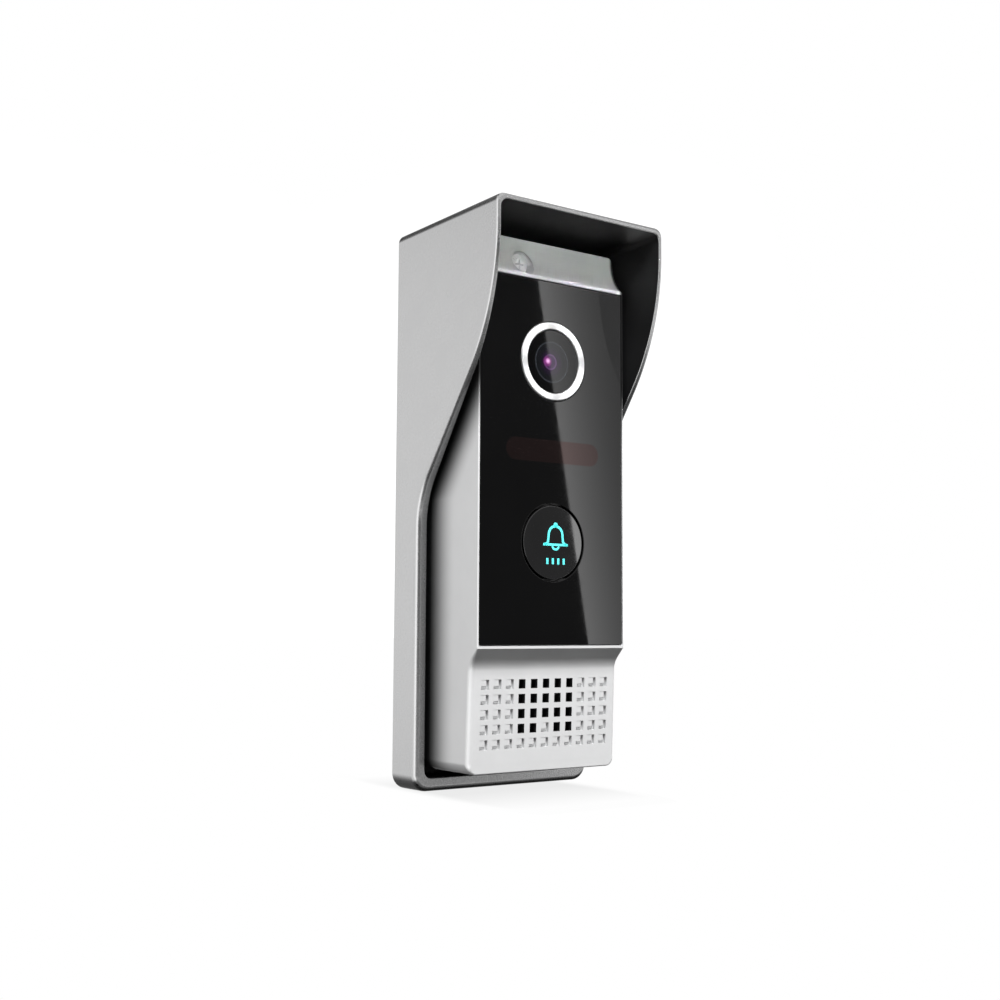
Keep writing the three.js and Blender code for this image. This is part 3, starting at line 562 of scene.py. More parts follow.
def spun_metal_painted_bands():
    """Turned and polished ring: fine circular lines, and four soft darker bands set by angle as a
    painted reflection.
    """
    nodes = Nodes("chrome_ring")
    across, upward = position(nodes, 0.0, LENS_Z)
    angle = nodes.math("ARCTAN2", upward, across)
    # painted reflection: four soft darker bands round the ring, set by angle
    wave = nodes.math("COSINE", nodes.math("ADD", nodes.math("MULTIPLY", angle, 4.0), -0.35))
    band = nodes.spread(wave, 0.0, 1.0, 0.25, 1.0)
    radius = length_of(nodes, across, upward)
    groove = nodes.math("SINE", nodes.math("MULTIPLY", radius, 2 * math.pi / 0.12))
    bright, painted_band_tone = (0.95, 0.952, 0.955), (0.46, 0.46, 0.465)
    rough = nodes.spread(nodes.noise(0.6), 0.3, 0.4)
    nodes.drive(Base_Color=nodes.blend(band, bright, painted_band_tone), Roughness=rough)
    nodes.bump(groove, 0.0006)
    nodes.set(Metallic=0.25)
    return nodes.owner


def glass(name, colour):
    nodes = Nodes(name)
    nodes.drive(
        Base_Color=nodes.uneven(nodes.noise(3.0, detail=2.0), colour, 0.8, 1.2),
        Roughness=nodes.spread(nodes.noise(1.2), 0.02, 0.035),
    )
    nodes.set(IOR=1.5)
    return nodes.owner


def cover_glass():
    """Smoked cover glass with the lens behind it drawn into its colour: pale rim, dark iris,
    violet pupil and a painted glint.
    """
    nodes = Nodes("cover_glass")

    def disc(x, z, inner, outer, hollow=None):
        """1 inside a soft-edged disc, or along a thin circle when hollow gives its radius."""
        distance = length_of(nodes, *position(nodes, x, LENS_Z + z))
        if hollow:
            distance = nodes.math("ABSOLUTE", nodes.math("SUBTRACT", distance, hollow))
        return nodes.spread(distance, 1.0, 0.0, inner, outer)

    layers = [
        (disc(-0.5, -0.2, 4.6, 4.9), (0.0035, 0.0038, 0.0048)),
        (disc(-0.5, -0.2, 0.1, 0.3, 4.75), (0.012, 0.0135, 0.016)),
        (disc(-0.6, -0.2, 2.6, 3.3), (0.0075, 0.0035, 0.0115)),
        (disc(-0.9, -0.2, 1.4, 2.0), (0.018, 0.006, 0.028)),
        (disc(-0.9, -0.2, 0.05, 0.3, 1.7), (0.05, 0.022, 0.065)),
        # painted highlight: the magenta glint and its pale core
        (disc(-1.75, -0.1, 0.45, 1.35), (0.16, 0.018, 0.13)),
        (disc(-1.6, 0.0, 0.1, 0.75), (0.62, 0.36, 0.6)),
    ]
    uneven = nodes.spread(nodes.noise(1.6, detail=2.0), 0.0, 1.0)
    colour = nodes.blend(uneven, (0.0007, 0.0007, 0.0008), (0.0012, 0.0012, 0.0013))
    for share, tint in layers:
        colour = nodes.blend(share, colour, tint)
    nodes.drive(Base_Color=colour, Roughness=nodes.spread(nodes.noise(1.2), 0.02, 0.035))
    nodes.set(IOR=1.38)
    return nodes.owner


def glow(name, colour, strength):
    """Lit translucent plastic with a faint speckle."""
    nodes = Nodes(name)
    speckle = nodes.noise(0.35, detail=2.0)
    lit = nodes.uneven(speckle, colour, 0.9, 1.05)
    rough = nodes.spread(speckle, 0.3, 0.45)
    nodes.drive(Emission_Color=lit, Base_Color=lit, Roughness=rough)
    nodes.set(Emission_Strength=strength)
    return nodes.owner


PLAIN_FINISHES = {
    "black_metal": ((0.008, 0.008, 0.009), 0.42, {
        "metallic": 0.2, "grain": 0.1, "colour_change": 0.2, "rough_change": 0.08}),
    "red_filter": ((0.03, 0.004, 0.004), 0.25, {"grain": 0.4, "colour_change": 0.15}),
    "led_epoxy": ((0.09, 0.07, 0.095), 0.15, {"grain": 0.5, "colour_change": 0.1}),
    "diffuser": ((0.36, 0.75, 0.72), 0.5, {"grain": 0.2, "colour_change": 0.05}),
    "rubber": ((0.014, 0.014, 0.0145), 0.8, {
        "grain": 0.18, "grain_height": 0.01, "colour_change": 0.2, "rough_change": 0.08}),
    "steel": ((0.46, 0.465, 0.47), 0.3, {
        "metallic": 1.0, "grain": 0.2, "colour_change": 0.08, "rough_change": 0.08}),
    "circuit_board": ((0.012, 0.09, 0.03), 0.5, {
        "grain": 0.6, "grain_height": 0.02, "mottle": 3.0, "colour_change": 0.25}),
    "chip": ((0.012, 0.012, 0.013), 0.45, {"grain": 0.15, "colour_change": 0.15}),
    "white_plastic": ((0.72, 0.70, 0.62), 0.5, {"grain": 0.2, "colour_change": 0.04}),
    "paper_cone": ((0.045, 0.04, 0.034), 0.85, {
        "grain": 0.3, "grain_height": 0.02, "colour_change": 0.2}),
    "mesh_cloth": ((0.006, 0.006, 0.0065), 0.9, {
        "grain": 0.3, "grain_height": 0.05, "colour_change": 0.4}),
}
SLOT_FINISHES = {
    "silver_paint": silver_paint,
    "black_acrylic": button_acrylic,
    "chrome_trim": spun_metal_painted_bands(),
    "clear_glass": glass("clear_glass", (0.02, 0.022, 0.025)),
    "coated_glass": glass("coated_glass", (0.05, 0.012, 0.07)),
    "black_plastic": black_plastic,
}
for slot, (slot_colour, slot_roughness, detail) in PLAIN_FINISHES.items():
    SLOT_FINISHES[slot] = finish(slot, slot_colour, slot_roughness, **detail)


# ---- rain hood


def side_edge():
    """The hood's side edge as (z, y) from the tray up to the lip, with both bends rounded."""
    slope = Vector((LIP_BEND_Z - TRAY_BEND_Z, TRAY_DEPTH - HOOD_DEPTH)).normalized()
    turn = math.acos(slope.x)
    lip_centre_z = LIP_BEND_Z + LIP_BEND_RADIUS * math.tan(turn / 2)
    tray_centre_z = TRAY_BEND_Z - TRAY_BEND_RADIUS * math.tan(turn / 2)
    points = []
    for i in range(17):
        a = turn * i / 16
        y = -TRAY_DEPTH - TRAY_BEND_RADIUS * (1 - math.cos(a))
        points.append((tray_centre_z + TRAY_BEND_RADIUS * math.sin(a), y))
    for i in range(21):
        a = turn * (1 - i / 20)
        y = -HOOD_DEPTH + LIP_BEND_RADIUS * (1 - math.cos(a))
        points.append((lip_centre_z - LIP_BEND_RADIUS * math.sin(a), y))
    return points


def along(points, z):
    """(y, slope) at height z on a line of (z, y) points that is straight beyond its ends."""
    if z <= points[0][0]:
        return points[0][1], 0.0
    if z >= points[-1][0]:
        return points[-1][1], 0.0
    for (z0, y0), (z1, y1) in zip(points, points[1:]):
        if z0 <= z <= z1 and z1 > z0:
            slope = (y1 - y0) / (z1 - z0)
            return y0 + slope * (z - z0), slope
    return points[-1][1], 0.0


def smooth_slope(points, z, reach=0.4):
    return (along(points, z + reach)[0] - along(points, z - reach)[0]) / (2 * reach)


def drafted(x, y, z, side, widening):
    """A hood point moved by the draft of its sides and the rise of its roof."""
    forward = -y / HOOD_DEPTH
    return Vector((x + side * widening * forward, y, z + (LIP_RISE * forward if z > 0 else 0.0)))


def side_sign(x):
    return 0 if x == 0 else math.copysign(1, x)


def down_wall(nx, nz, slope):
    """Direction from an edge point down the wall behind it, and the wall's outward normal."""
    normal = Vector((nx, 0, nz))
    down = Vector((-nz, slope * nx, nx)).normalized().cross(normal)
    if down.y < 0:
        down.negate()
    return down, normal


def hood_edge(point, edge_line, widening):
    """Edge point, direction down the wall and outward normal of a loop point at the mouth."""
    x, z, nx, nz = point
    side = side_sign(x)
    y = -HOOD_DEPTH
    for _ in range(12):
        y = along(edge_line, drafted(x, y, z, side, widening).z)[0]
    edge = drafted(x, y, z, side, widening)
    slope = smooth_slope(edge_line, edge.z) if abs(nx) > 0.999 else 0.0
    down, normal = down_wall(nx, nz, slope)
    return edge, down.normalized(), normal


def hood_section(outer, inner, edge_line):
    """One slice of the hood's wall, from the rim of its back face round to its inner floor."""
    x, z, nx, nz = outer
    side = side_sign(x)
    normal = Vector((nx, 0, nz))
    outer_change = LIP_HALF - HOOD_HALF
    inner_change = LIP_HALF - LIP_WALL - (HOOD_HALF - TRAY_WALL)
    foot = drafted(x, 0, z, side, outer_change)
    rows = []
    for inset, back in rounding(REAR_ROUNDING, 3):
        rows.append(foot - normal * inset - Vector((0, back, 0)))
    edge, down, normal = hood_edge(outer, edge_line, outer_change)
    radius = LIP_ROUNDING + (TRAY_ROUNDING - LIP_ROUNDING) * (1 + edge.y / HOOD_DEPTH)
    for back, inset in rounding(radius, 7):
        rows.append(edge + down * back - normal * inset)
    edge, down, normal = hood_edge(inner, edge_line, inner_change)
    for inset, back in rounding(INNER_ROUNDING, 4):
        rows.append(edge + normal * inset + down * back)
    floor = drafted(inner[0], -BACK_PLATE, inner[1], side_sign(inner[0]), inner_change)
    for forward, inset in rounding(FLOOR_FILLET, 4):
        rows.append(floor - Vector((0, forward, 0)) - normal * inset)
    return rows


def hood_loops():
    edge_line = side_edge()
    levels = [-58.0, -30.0, -12.0] + [z for z, _ in edge_line] + [62.6]
    outer = half_loop(HOOD_HALF, HOOD_LOW.z, HOOD_ROOF, HOOD_LOW_RADIUS, HOOD_HIGH_RADIUS, levels)
    inner = half_loop(
        HOOD_HALF - TRAY_WALL, HOOD_LOW.z + FLOOR_WALL, HOOD_ROOF - ROOF_WALL,
        CAVITY_RADIUS, CAVITY_RADIUS, levels,
    )
    return whole_loop(outer), whole_loop(inner), edge_line


def hood_holes():
    holes = []
    for z in (-WALL_SCREW_Z, WALL_SCREW_Z):
        front, sunk = -BACK_PLATE, -BACK_PLATE + 1.9
        profile = [
            (0, front - 0.5), (WALL_SCREW_SINK + 0.5, front - 0.5), (WALL_SCREW_RADIUS, sunk),
            (WALL_SCREW_RADIUS, 0.5), (0, 0.5),
        ]
        holes.append(lathe("hole", profile, (0, z), 64))
    for z in BRACKET_SCREWS_Z:
        holes.append(cylinder("hole", BRACKET_SCREW_HOLE, -BACK_PLATE - 0.5, 0.5, (0, z), 48))
    holes.append(cylinder("hole", CABLE_HOLE_RADIUS, -BACK_PLATE - 0.5, 0.5, (0, CABLE_Z), 96))
    return holes


def make_hood():
    outer, inner, edge_line = hood_loops()
    sections = [hood_section(a, b, edge_line) for a, b in zip(outer, inner)]
    vertices, faces, rows = skin(sections)
    faces.append(tuple(c * rows + rows - 1 for c in range(len(sections))))
    hood = new_object("hood_shell", vertices, faces)
    combine(hood, hood_holes())
    return shade(paint_hood(hood, edge_line), 40)


def paint_hood(hood, edge_line):
    """Outer paint and dark inner faces as two material slots."""
    wall_back = HOOD_HALF - PAINT_INSET_BACK
    for face in hood.data.polygons:
        centre = face.center
        edge_y = along(edge_line, centre.z)[0]
        forward = -centre.y / HOOD_DEPTH
        wall = wall_back + (LIP_HALF - PAINT_INSET_LIP - wall_back) * forward
        roof = HOOD_ROOF - 0.7 + LIP_RISE * forward
        is_outer = abs(centre.x) > wall or centre.z > roof or centre.z < HOOD_LOW.z + 1.2
        at_mouth = centre.y < edge_y + 0.28
        if not is_outer and not at_mouth and centre.y < -0.4:
            face.material_index = 1
    return hood


# ---- front housing


def chin_slope():
    return (CHIN_FOOT_Y - CHIN_STEP_Y) / (UNIT_LOW.z - CHIN_STEP_Z)


def chin_face_y(z):
    return CHIN_STEP_Y + chin_slope() * (z - CHIN_STEP_Z)


def corner_arc(before, corner, after, radius, steps):
    """Points of a tangent arc that rounds a corner of a line."""
    back = (Vector(before) - Vector(corner)).normalized()
    ahead = (Vector(after) - Vector(corner)).normalized()
    half = back.angle(ahead) / 2
    centre = Vector(corner) + (back + ahead).normalized() * radius / math.sin(half)
    start = Vector(corner) + back * radius / math.tan(half) - centre
    end = Vector(corner) + ahead * radius / math.tan(half) - centre
    sweep = math.pi - 2 * half
    sign = 1 if start.x * end.y - start.y * end.x > 0 else -1
    points = []
    for i in range(steps + 1):
        a = sign * sweep * i / steps
        x = start.x * math.cos(a) - start.y * math.sin(a)
        y = start.x * math.sin(a) + start.y * math.cos(a)
        points.append((centre.x + x, centre.y + y))
    return points


def front_profile():
    """The housing's front as (z, y) from the foot of the chin up to the top flange."""
    foot = (UNIT_LOW.z + UNIT_LOW_RADIUS, chin_face_y(UNIT_LOW.z + UNIT_LOW_RADIUS))
    step = (CHIN_STEP_Z, CHIN_STEP_Y)
    ledge = (CHIN_START_Z, UNIT_FRONT)
    points = [foot]
    points += corner_arc(foot, step, ledge, CHIN_FILLET, 10)
    points += corner_arc(step, ledge, (FLANGE_START_Z, UNIT_FRONT), LEDGE_ROUNDING, 4)
    centre_y = FLANGE_FRONT - FLANGE_ARC_RADIUS
    start = math.asin((FLANGE_START_Z - FLANGE_ARC_Z) / FLANGE_ARC_RADIUS)
    flange = arc((FLANGE_ARC_Z, centre_y), FLANGE_ARC_RADIUS, math.pi / 2 + start, math.pi / 2, 14)
    flange = [(2 * FLANGE_ARC_Z - z, y) for z, y in flange]
    points.append((FLANGE_START_Z - 0.12, UNIT_FRONT))
    points.append((FLANGE_START_Z - 0.03, UNIT_FRONT + 0.05))
    points += sorted((FLANGE_ARC_Z - abs(z - FLANGE_ARC_Z), y) for z, y in flange)
    points.append((FLANGE_ARC_Z + 0.2, FLANGE_FRONT))
    return points


def edge_radius(z, nz):
    """Rounding of the front corners: crisp beside the panel and at the foot, soft on the chin."""
    low, high = CHIN_STEP_Z - 1.0, CHIN_START_Z
    share = min(1.0, max(0.0, (z - low) / (high - low), -nz))
    return CHIN_ROUNDING + (SIDE_ROUNDING - CHIN_ROUNDING) * share


def housing_section(point, profile, top):
    x, z, nx, nz = point
    if z < profile[0][0]:
        y, slope = chin_face_y(z), chin_slope()
    else:
        y = along(profile, z)[0]
        slope = smooth_slope(profile, z, 0.05) if z < top else 0.0
    edge = Vector((x, y, z))
    down, normal = down_wall(nx, nz, slope)
    rows = [Vector((x, UNIT_BACK, z)), Vector((x, SKIRT_FRONT, z))]
    for back, inset in rounding(edge_radius(z, nz), 5):
        rows.append(edge + down * back - normal * inset)
    return rows


def make_housing_skin():
    profile = front_profile()
    top = UNIT_HIGH.z - UNIT_HIGH_RADIUS
    levels = [z for z, _ in profile[1:] if z < top - 0.02]
    half = half_loop(UNIT_HALF, UNIT_LOW.z, UNIT_HIGH.z, UNIT_LOW_RADIUS, UNIT_HIGH_RADIUS,
                     levels, 6)
    loop = whole_loop(half)
    vertices, faces, rows = skin([housing_section(point, profile, top) for point in loop])
    columns = len(loop)
    last = rows - 1
    for k in range(1, len(half) - 2):
        faces.append(tuple(c * rows + last for c in (k, k + 1, columns - k - 1, columns - k)))
    bottom = (last, rows + last, (columns - 1) * rows + last)
    crest = len(half) - 1
    faces.append(bottom)
    faces.append(((crest - 1) * rows + last, crest * rows + last, (crest + 1) * rows + last))
    return new_object("housing_shell", vertices, faces)


def is_through(row, column):
    from_centre = abs(column - (GRILLE_COLUMNS - 1) / 2)
    if row <= 2:
        return from_centre <= 2
    return row == 3 and 1 <= from_centre <= 2


def grille_squares():
    """Centre, chin depth and kind of every square, row by row from the top."""
    for row in range(GRILLE_ROWS):
        z = GRILLE_Z + ((GRILLE_ROWS - 1) / 2 - row) * GRILLE_PITCH_Z
        for column in range(GRILLE_COLUMNS):
            x = (column - (GRILLE_COLUMNS - 1) / 2) * GRILLE_PITCH_X
            yield x, z, is_through(row, column)


def scoop(x, z):
    """Blind square: nearly flush, then down to full depth along its foot and its right side."""
    half = GRILLE_SQUARE / 2
    shares = (0.0, 0.35, 0.62, 0.7, 0.78, 0.87, 0.96, 1.0)

    def fall(share):
        t = min(1.0, max(0.0, (share - SLOPE_START) / (SLOPE_END - SLOPE_START)))
        return t * t * (3 - 2 * t)

    vertices = []
    for across in shares:
        for down in shares:
            deep = POCKET_STEP + (POCKET_DEPTH - POCKET_STEP) * max(fall(across), fall(down))
            level = z + half - down * 2 * half
            vertices.append((x - half + across * 2 * half, chin_face_y(level) + deep, level))
    row = len(shares)
    last = row - 1
    faces = []
    for i in range(last):
        for k in range(last):
            a, b, c, d = i * row + k, (i + 1) * row + k, (i + 1) * row + k + 1, i * row + k + 1
            faces += [(a, b, c), (a, c, d)]
    rim = list(range(row)) + [i * row + last for i in range(1, row)]
    rim += [last * row + k for k in range(last - 1, -1, -1)]
    rim += [i * row for i in range(last - 1, 0, -1)]
    start = len(vertices)
    vertices += [(vertices[i][0], chin_face_y(z) - 0.5, vertices[i][2]) for i in rim]
    count = len(rim)
    faces += band(rim, list(range(start, start + count)))
    faces.append(tuple(range(start, start + count)))
    return new_object("scoop", vertices, faces)


def grille_cutters():
    """Blind squares all round and the open squares in front of the speaker."""
    cutters = []
    for x, z, through in grille_squares():
        if not through:
            cutters.append(scoop(x, z))
            continue
        face = chin_face_y(z)
        wide, high, flare = OPEN_WIDTH / 2, OPEN_HEIGHT / 2, OPEN_FLARE
        mouth = level_frame(x, wide + flare, z, high + flare, face - 0.1)
        back = level_frame(x, wide, z, high, face + 2 * GRILLE_WALL)
        cutters.append(hull_box("mouth", mouth, back))
    return cutters


def blacken(housing):
    """The rear skirt and the walls of the open squares take the second, black material slot; the
    black on the open squares' walls is painted shade inside the holes.
    """
    opened = [(x, z) for x, z, through in grille_squares() if through]
    reach = GRILLE_SQUARE / 2
    for face in housing.data.polygons:
        centre = face.center
        if centre.y > SKIRT_FRONT:
            face.material_index = 1
        in_front = centre.y < chin_face_y(centre.z) + 0.12
        if centre.z > CHIN_STEP_Z or in_front or centre.y > INNER_FRONT + 0.5:
            continue
        # painted shade: the open squares' walls are made black
        if any(abs(centre.x - x) < reach and abs(centre.z - z) < reach for x, z in opened):
            face.material_index = 1
    return housing


def speaker_relief():
    """Thins the chin to the grille's wall inside the speaker's seat."""
    high, low = SPEAKER_Z + SPEAKER_RADIUS, SPEAKER_Z - SPEAKER_RADIUS
    slab = hull_box(
        "relief",
        (-SPEAKER_RADIUS - 1, SPEAKER_RADIUS + 1, low, high,
         chin_face_y(low) + GRILLE_WALL, chin_face_y(high) + GRILLE_WALL),
        (-SPEAKER_RADIUS - 1, SPEAKER_RADIUS + 1, low, high, INNER_FRONT + 1, INNER_FRONT + 1),
    )
    seat = cylinder("seat", SPEAKER_RADIUS, -30, INNER_FRONT + 0.5, (0, SPEAKER_Z), 96)
    return combine(slab, [seat], "INTERSECT")


def stadium_loop(half_width, radius, z, steps=24):
    reach = half_width - radius
    right = arc((reach, z), radius, -math.pi / 2, math.pi / 2, steps)
    left = arc((-reach, z), radius, math.pi / 2, 3 * math.pi / 2, steps)
    return right + left


def join(objects):
    """One object from several that don't touch."""
    first, *rest = objects
    build = bmesh.new()
    for obj in objects:
        build.from_mesh(obj.data)
    build.to_mesh(first.data)
    build.free()
    for obj in rest:
        bpy.data.objects.remove(obj)
    return first


def housing_cutters():
    side = UNIT_HALF - SHELL_WALL
    low, high = UNIT_LOW.z + SHELL_WALL, UNIT_HIGH.z - SHELL_WALL
    recess_half = PANEL_HIGH.x + RECESS_GAP
    screw = [
        (0, -35), (SCREW_HEAD_RADIUS + 0.4, -35), (SCREW_HEAD_RADIUS + 0.4, -24.35),
        (1.8, -22.6), (1.8, -15), (0, -15),
    ]
    return [
        rounded_prism("cavity", side, low, high, 1.2, 1.2, INNER_FRONT, 1),
        rounded_prism("cover_seat", side + 0.8, low - 0.8, high + 0.8, 1.6, 1.6,
                      COVER_SEAT_FRONT, 1),
        rounded_prism(
            "recess", recess_half, PANEL_LOW.z - RECESS_GAP, PANEL_HIGH.z + RECESS_GAP, 0.45, 0.45,
            UNIT_FRONT - 1, PANEL_SEAT,
        ),
        cylinder("lens_hole", LENS_HOLE_RADIUS, UNIT_FRONT - 1, HOLES_END, (0, LENS_Z), 96),
        prism("ir_hole", stadium_loop(IR_HALF_WIDTH + 0.3, IR_RADIUS + 0.3, IR_Z), UNIT_FRONT,
              HOLES_END),
        cylinder("well", BUTTON_WELL_RADIUS, UNIT_FRONT - 1, HOLES_END, (0, BUTTON_Z), 96),
        lathe("screw_hole", screw, (SCREW_X, SCREW_Z), 64),
        speaker_relief(),
        microphone_hole(),
    ]


def microphone_hole():
    hole = cylinder("microphone_hole", MICROPHONE_RADIUS, -2, 2, (0, 0), 32)
    hole.data.transform(Matrix.Rotation(math.pi / 2, 4, "X"))
    hole.data.transform(Matrix.Translation((0, -11, UNIT_LOW.z + SHELL_WALL / 2)))
    return hole


def split_flange(obj, x_values):
    """Extra edges across the top flange, so that its hole only changes the faces close to it."""
    build = bmesh.new()
    build.from_mesh(obj.data)
    for x in x_values:
        faces = [
            f for f in build.faces
            if f.calc_center_median().z > FLANGE_START_Z and f.normal.y < -0.5
        ]
        edges = {edge for face in faces for edge in face.edges}
        vertices = {vertex for face in faces for vertex in face.verts}
        geometry = list(vertices) + list(edges) + faces
        bmesh.ops.bisect_plane(build, geom=geometry, plane_co=(x, 0, 0), plane_no=(1, 0, 0))
    build.to_mesh(obj.data)
    build.free()
    return obj


def make_housing():
    skin = split_flange(make_housing_skin(), (SCREW_X - FLANGE_SPLIT, SCREW_X + FLANGE_SPLIT))
    housing = combine(skin, housing_cutters())
    bevel(housing, EDGE_BREAK, angle=48, segments=2)
    combine(housing, [join(grille_cutters())])
    return shade(blacken(housing), 35)


# ---- panel, camera and button


def circle_loop(radius, z, segments=FINE_SEGMENTS):
    """Rim of a round hole as (x, z, normal x, normal z), its normals pointing into the hole."""
    turns = [2 * math.pi * i / segments for i in range(segments)]
    return [
        (radius * math.cos(t), z + radius * math.sin(t), -math.cos(t), -math.sin(t)) for t in turns
    ]


def plate(name, loops, y_front, y_back, edge_breaks):
    """Flat plate with rounded rims: outer loop first, then the loops of its holes."""
    build = bmesh.new()
    caps = [[], []]
    for loop, edge_break in zip(loops, edge_breaks):
        rings = []
        rim = rounding(edge_break, 4) if edge_break else [(0.0, 0.0)]
        for back, inset in [(y_back - y_front, 0.0)] + rim:
            rings.append([
                build.verts.new((x - nx * inset, y_front + back, z - nz * inset))
                for x, z, nx, nz in loop
            ])
        for near, far in zip(rings, rings[1:]):
            for corners in band(near, far):
                build.faces.new(corners)
        for cap, ring in zip(caps, (rings[0], rings[-1])):
            cap += [build.edges.get(pair) for pair in zip(ring, ring[1:] + ring[:1])]
    for cap in caps:
        bmesh.ops.triangle_fill(build, use_beauty=True, use_dissolve=False, edges=cap)
    bmesh.ops.recalc_face_normals(build, faces=build.faces)
    mesh = bpy.data.meshes.new(name)
    build.to_mesh(mesh)
    build.free()
    return in_scene(name, mesh)


def filter_loop(outwards):
    """Outline of the infra-red filter as (x, z, normal x, normal z)."""
    loop = []
    reach = IR_HALF_WIDTH - IR_RADIUS
    for i in range(64):
        turn = 2 * math.pi * (i + 0.5) / 64
        c, n = math.cos(turn), math.sin(turn)
        x = math.copysign(reach, c) + IR_RADIUS * c
        loop.append((x, IR_Z + IR_RADIUS * n, outwards * c, outwards * n))
    return loop


def make_panel():
    outline = whole_loop(half_loop(PANEL_HIGH.x, PANEL_LOW.z, PANEL_HIGH.z, 0.4, 0.4, []))
    loops = [
        outline, circle_loop(RING_RADIUS + 0.2, LENS_Z), circle_loop(BUTTON_HOLE_RADIUS, BUTTON_Z),
        filter_loop(-1),
    ]
    return shade(plate("acrylic_panel", loops, PANEL_FRONT, PANEL_HIGH.y, (0.12, 0.12, 0.12, 0.0)))


def make_filter():
    return shade(plate("filter_inlay", [filter_loop(1)], PANEL_FRONT, PANEL_HIGH.y, (0.0,)))


def rounded_profile(corners):
    """Profile through corners (radius, y, rounding), each rounded by a tangent arc."""
    points = []
    count = len(corners)
    for i, (radius, y, round_off) in enumerate(corners):
        if round_off == 0:
            points.append((radius, y))
            continue
        before, after = corners[i - 1][:2], corners[(i + 1) % count][:2]
        points += corner_arc(before, (radius, y), after, round_off, 5)
    return points


def make_ring():
    face = RING_FRONT
    corners = [
        (6.3, RING_BACK, 0),
        (RING_RADIUS, RING_BACK, 0),
        (RING_RADIUS, face, 0.3),
        (RING_INNER_RADIUS, face + 0.12, 0.3),
        (RING_INNER_RADIUS, -27.3, 0),
        (6.3, -27.3, 0.1),
    ]
    return shade(lathe("chrome_lens_ring", rounded_profile(corners), (0, LENS_Z)))


def make_window():
    edge = RING_INNER_RADIUS - 0.2
    corners = [
        (0, PANEL_FRONT + 0.02, 0),
        (edge, PANEL_FRONT + 0.02, 0.12),
        (edge, -27.45, 0),
        (0, -27.45, 0),
    ]
    return shade(lathe("lens_cover_glass", rounded_profile(corners), (0, LENS_Z)))


def make_button():
    seat = PANEL_HIGH.y + 0.4
    corners = [
        (0, PANEL_FRONT, 0),
        (BUTTON_RADIUS, PANEL_FRONT, 0.14),
        (BUTTON_RADIUS, seat, 0),
        (9.45, seat, 0),
        (9.45, seat + 0.8, 0),
        (7.4, seat + 0.8, 0),
        (7.4, PANEL_FRONT + 1.2, 0),
        (1.5, PANEL_FRONT + 1.2, 0),
        (1.5, -18.9, 0),
        (0, -18.9, 0),
    ]
    return shade(lathe("call_button_cap", rounded_profile(corners), (0, BUTTON_Z)))


SIGN_Y = PANEL_FRONT - 0.02
SIGN_BACK = PANEL_FRONT + 0.05
SIGN_SHIFT = 0.7


def ribbon(points, width, closed=False):
    """Outline of a stroke of even width along points (x, z)."""
    left, right = [], []
    count = len(points)
    for i, point in enumerate(points):
        before = points[i - 1] if i or closed else point
        after = points[(i + 1) % count] if i < count - 1 or closed else point
        run = Vector(after) - Vector(before)
        side = Vector((-run.y, run.x)).normalized() * width / 2
        left.append((point[0] + side.x, point[1] + side.y))
        right.append((point[0] - side.x, point[1] - side.y))
    return left, right


def stroke(points, width, closed=False):
    """Thin raised stroke on the button's face."""
    left, right = ribbon(points, width, closed)
    count = len(points)
    vertices = [(x, y, z) for y in (SIGN_Y, SIGN_BACK) for x, z in left + right]
    faces = []
    deep = 2 * count
    for i in range(count if closed else count - 1):
        j = (i + 1) % count
        a, b, c, d = i, j, count + j, count + i
        faces += [(a, b, c, d), (deep + a, deep + b, deep + c, deep + d)]
        faces += [(a, b, deep + b, deep + a), (d, c, deep + c, deep + d)]
    if not closed:
        faces += [(k, count + k, deep + count + k, deep + k) for k in (0, count - 1)]
    return new_object("stroke", vertices, faces)


def bell_sign():
    """Bell: round knob, flared body, foot line and clapper."""
    base = BUTTON_Z - 0.5
    side = [(-3.3, 0.0), (-2.65, 0.18), (-2.2, 0.7), (-2.1, 1.5), (-2.05, 2.2)]
    side = [(x, base + rise) for x, rise in side]
    dome = arc((0, base + 2.3), 2.02, math.pi - 0.15, math.pi / 2, 8)
    left = side + dome
    body = left + [(-x, z) for x, z in reversed(left[:-1])]
    knob = arc((0, base + 4.62), 0.36, 0, 2 * math.pi, 15)[:-1]
    clapper = arc((0, base - 0.1), 1.0, math.pi * 1.08, math.pi * 1.92, 10)
    return [
        stroke(body, 0.6),
        stroke(knob, 0.45, closed=True),
        stroke([(-3.6, base), (3.6, base)], 0.52),
        stroke(clapper, 0.5),
    ]


def mark_row():
    """Four short upright bars under the bell, in place of a word."""
    z = BUTTON_Z - 4.35
    return [stroke([(x, z - 0.7), (x, z + 0.7)], 0.6) for x in (-2.4, -0.8, 0.8, 2.4)]


def make_sign():
    sign = join(bell_sign() + mark_row())
    sign.data.transform(Matrix.Translation((SIGN_SHIFT, 0, 0)))
    sign.name = "call_sign"
    return shade(sign)


def make_screw():
    """Countersunk-seat cross-head screw in the top flange."""
    r = SCREW_HEAD_RADIUS
    corners = [
        (0, SCREW_FRONT, 0),
        (r * 0.55, SCREW_FRONT, 0.6),
        (r, SCREW_FRONT + 0.45, 0.2),
        (r, SCREW_FRONT + 0.7, 0),
        (1.5, SCREW_FRONT + 1.6, 0),
        (1.5, SCREW_HIGH.y, 0),
        (0, SCREW_HIGH.y, 0),
    ]
    screw = lathe("flange_screw", rounded_profile(corners), (SCREW_X, SCREW_Z), 64)
    cross = []
    for long, short in ((1.45, 0.26), (0.26, 1.45)):
        front = level_frame(SCREW_X, long, SCREW_Z, short, SCREW_FRONT - 0.5)
        back = level_frame(SCREW_X, long * 0.6, SCREW_Z, short * 0.6, SCREW_FRONT + 1.1)
        cross.append(hull_box("cross", front, back))
    combine(screw, cross)
    bevel(screw, 0.05, angle=40)
    return shade(screw)


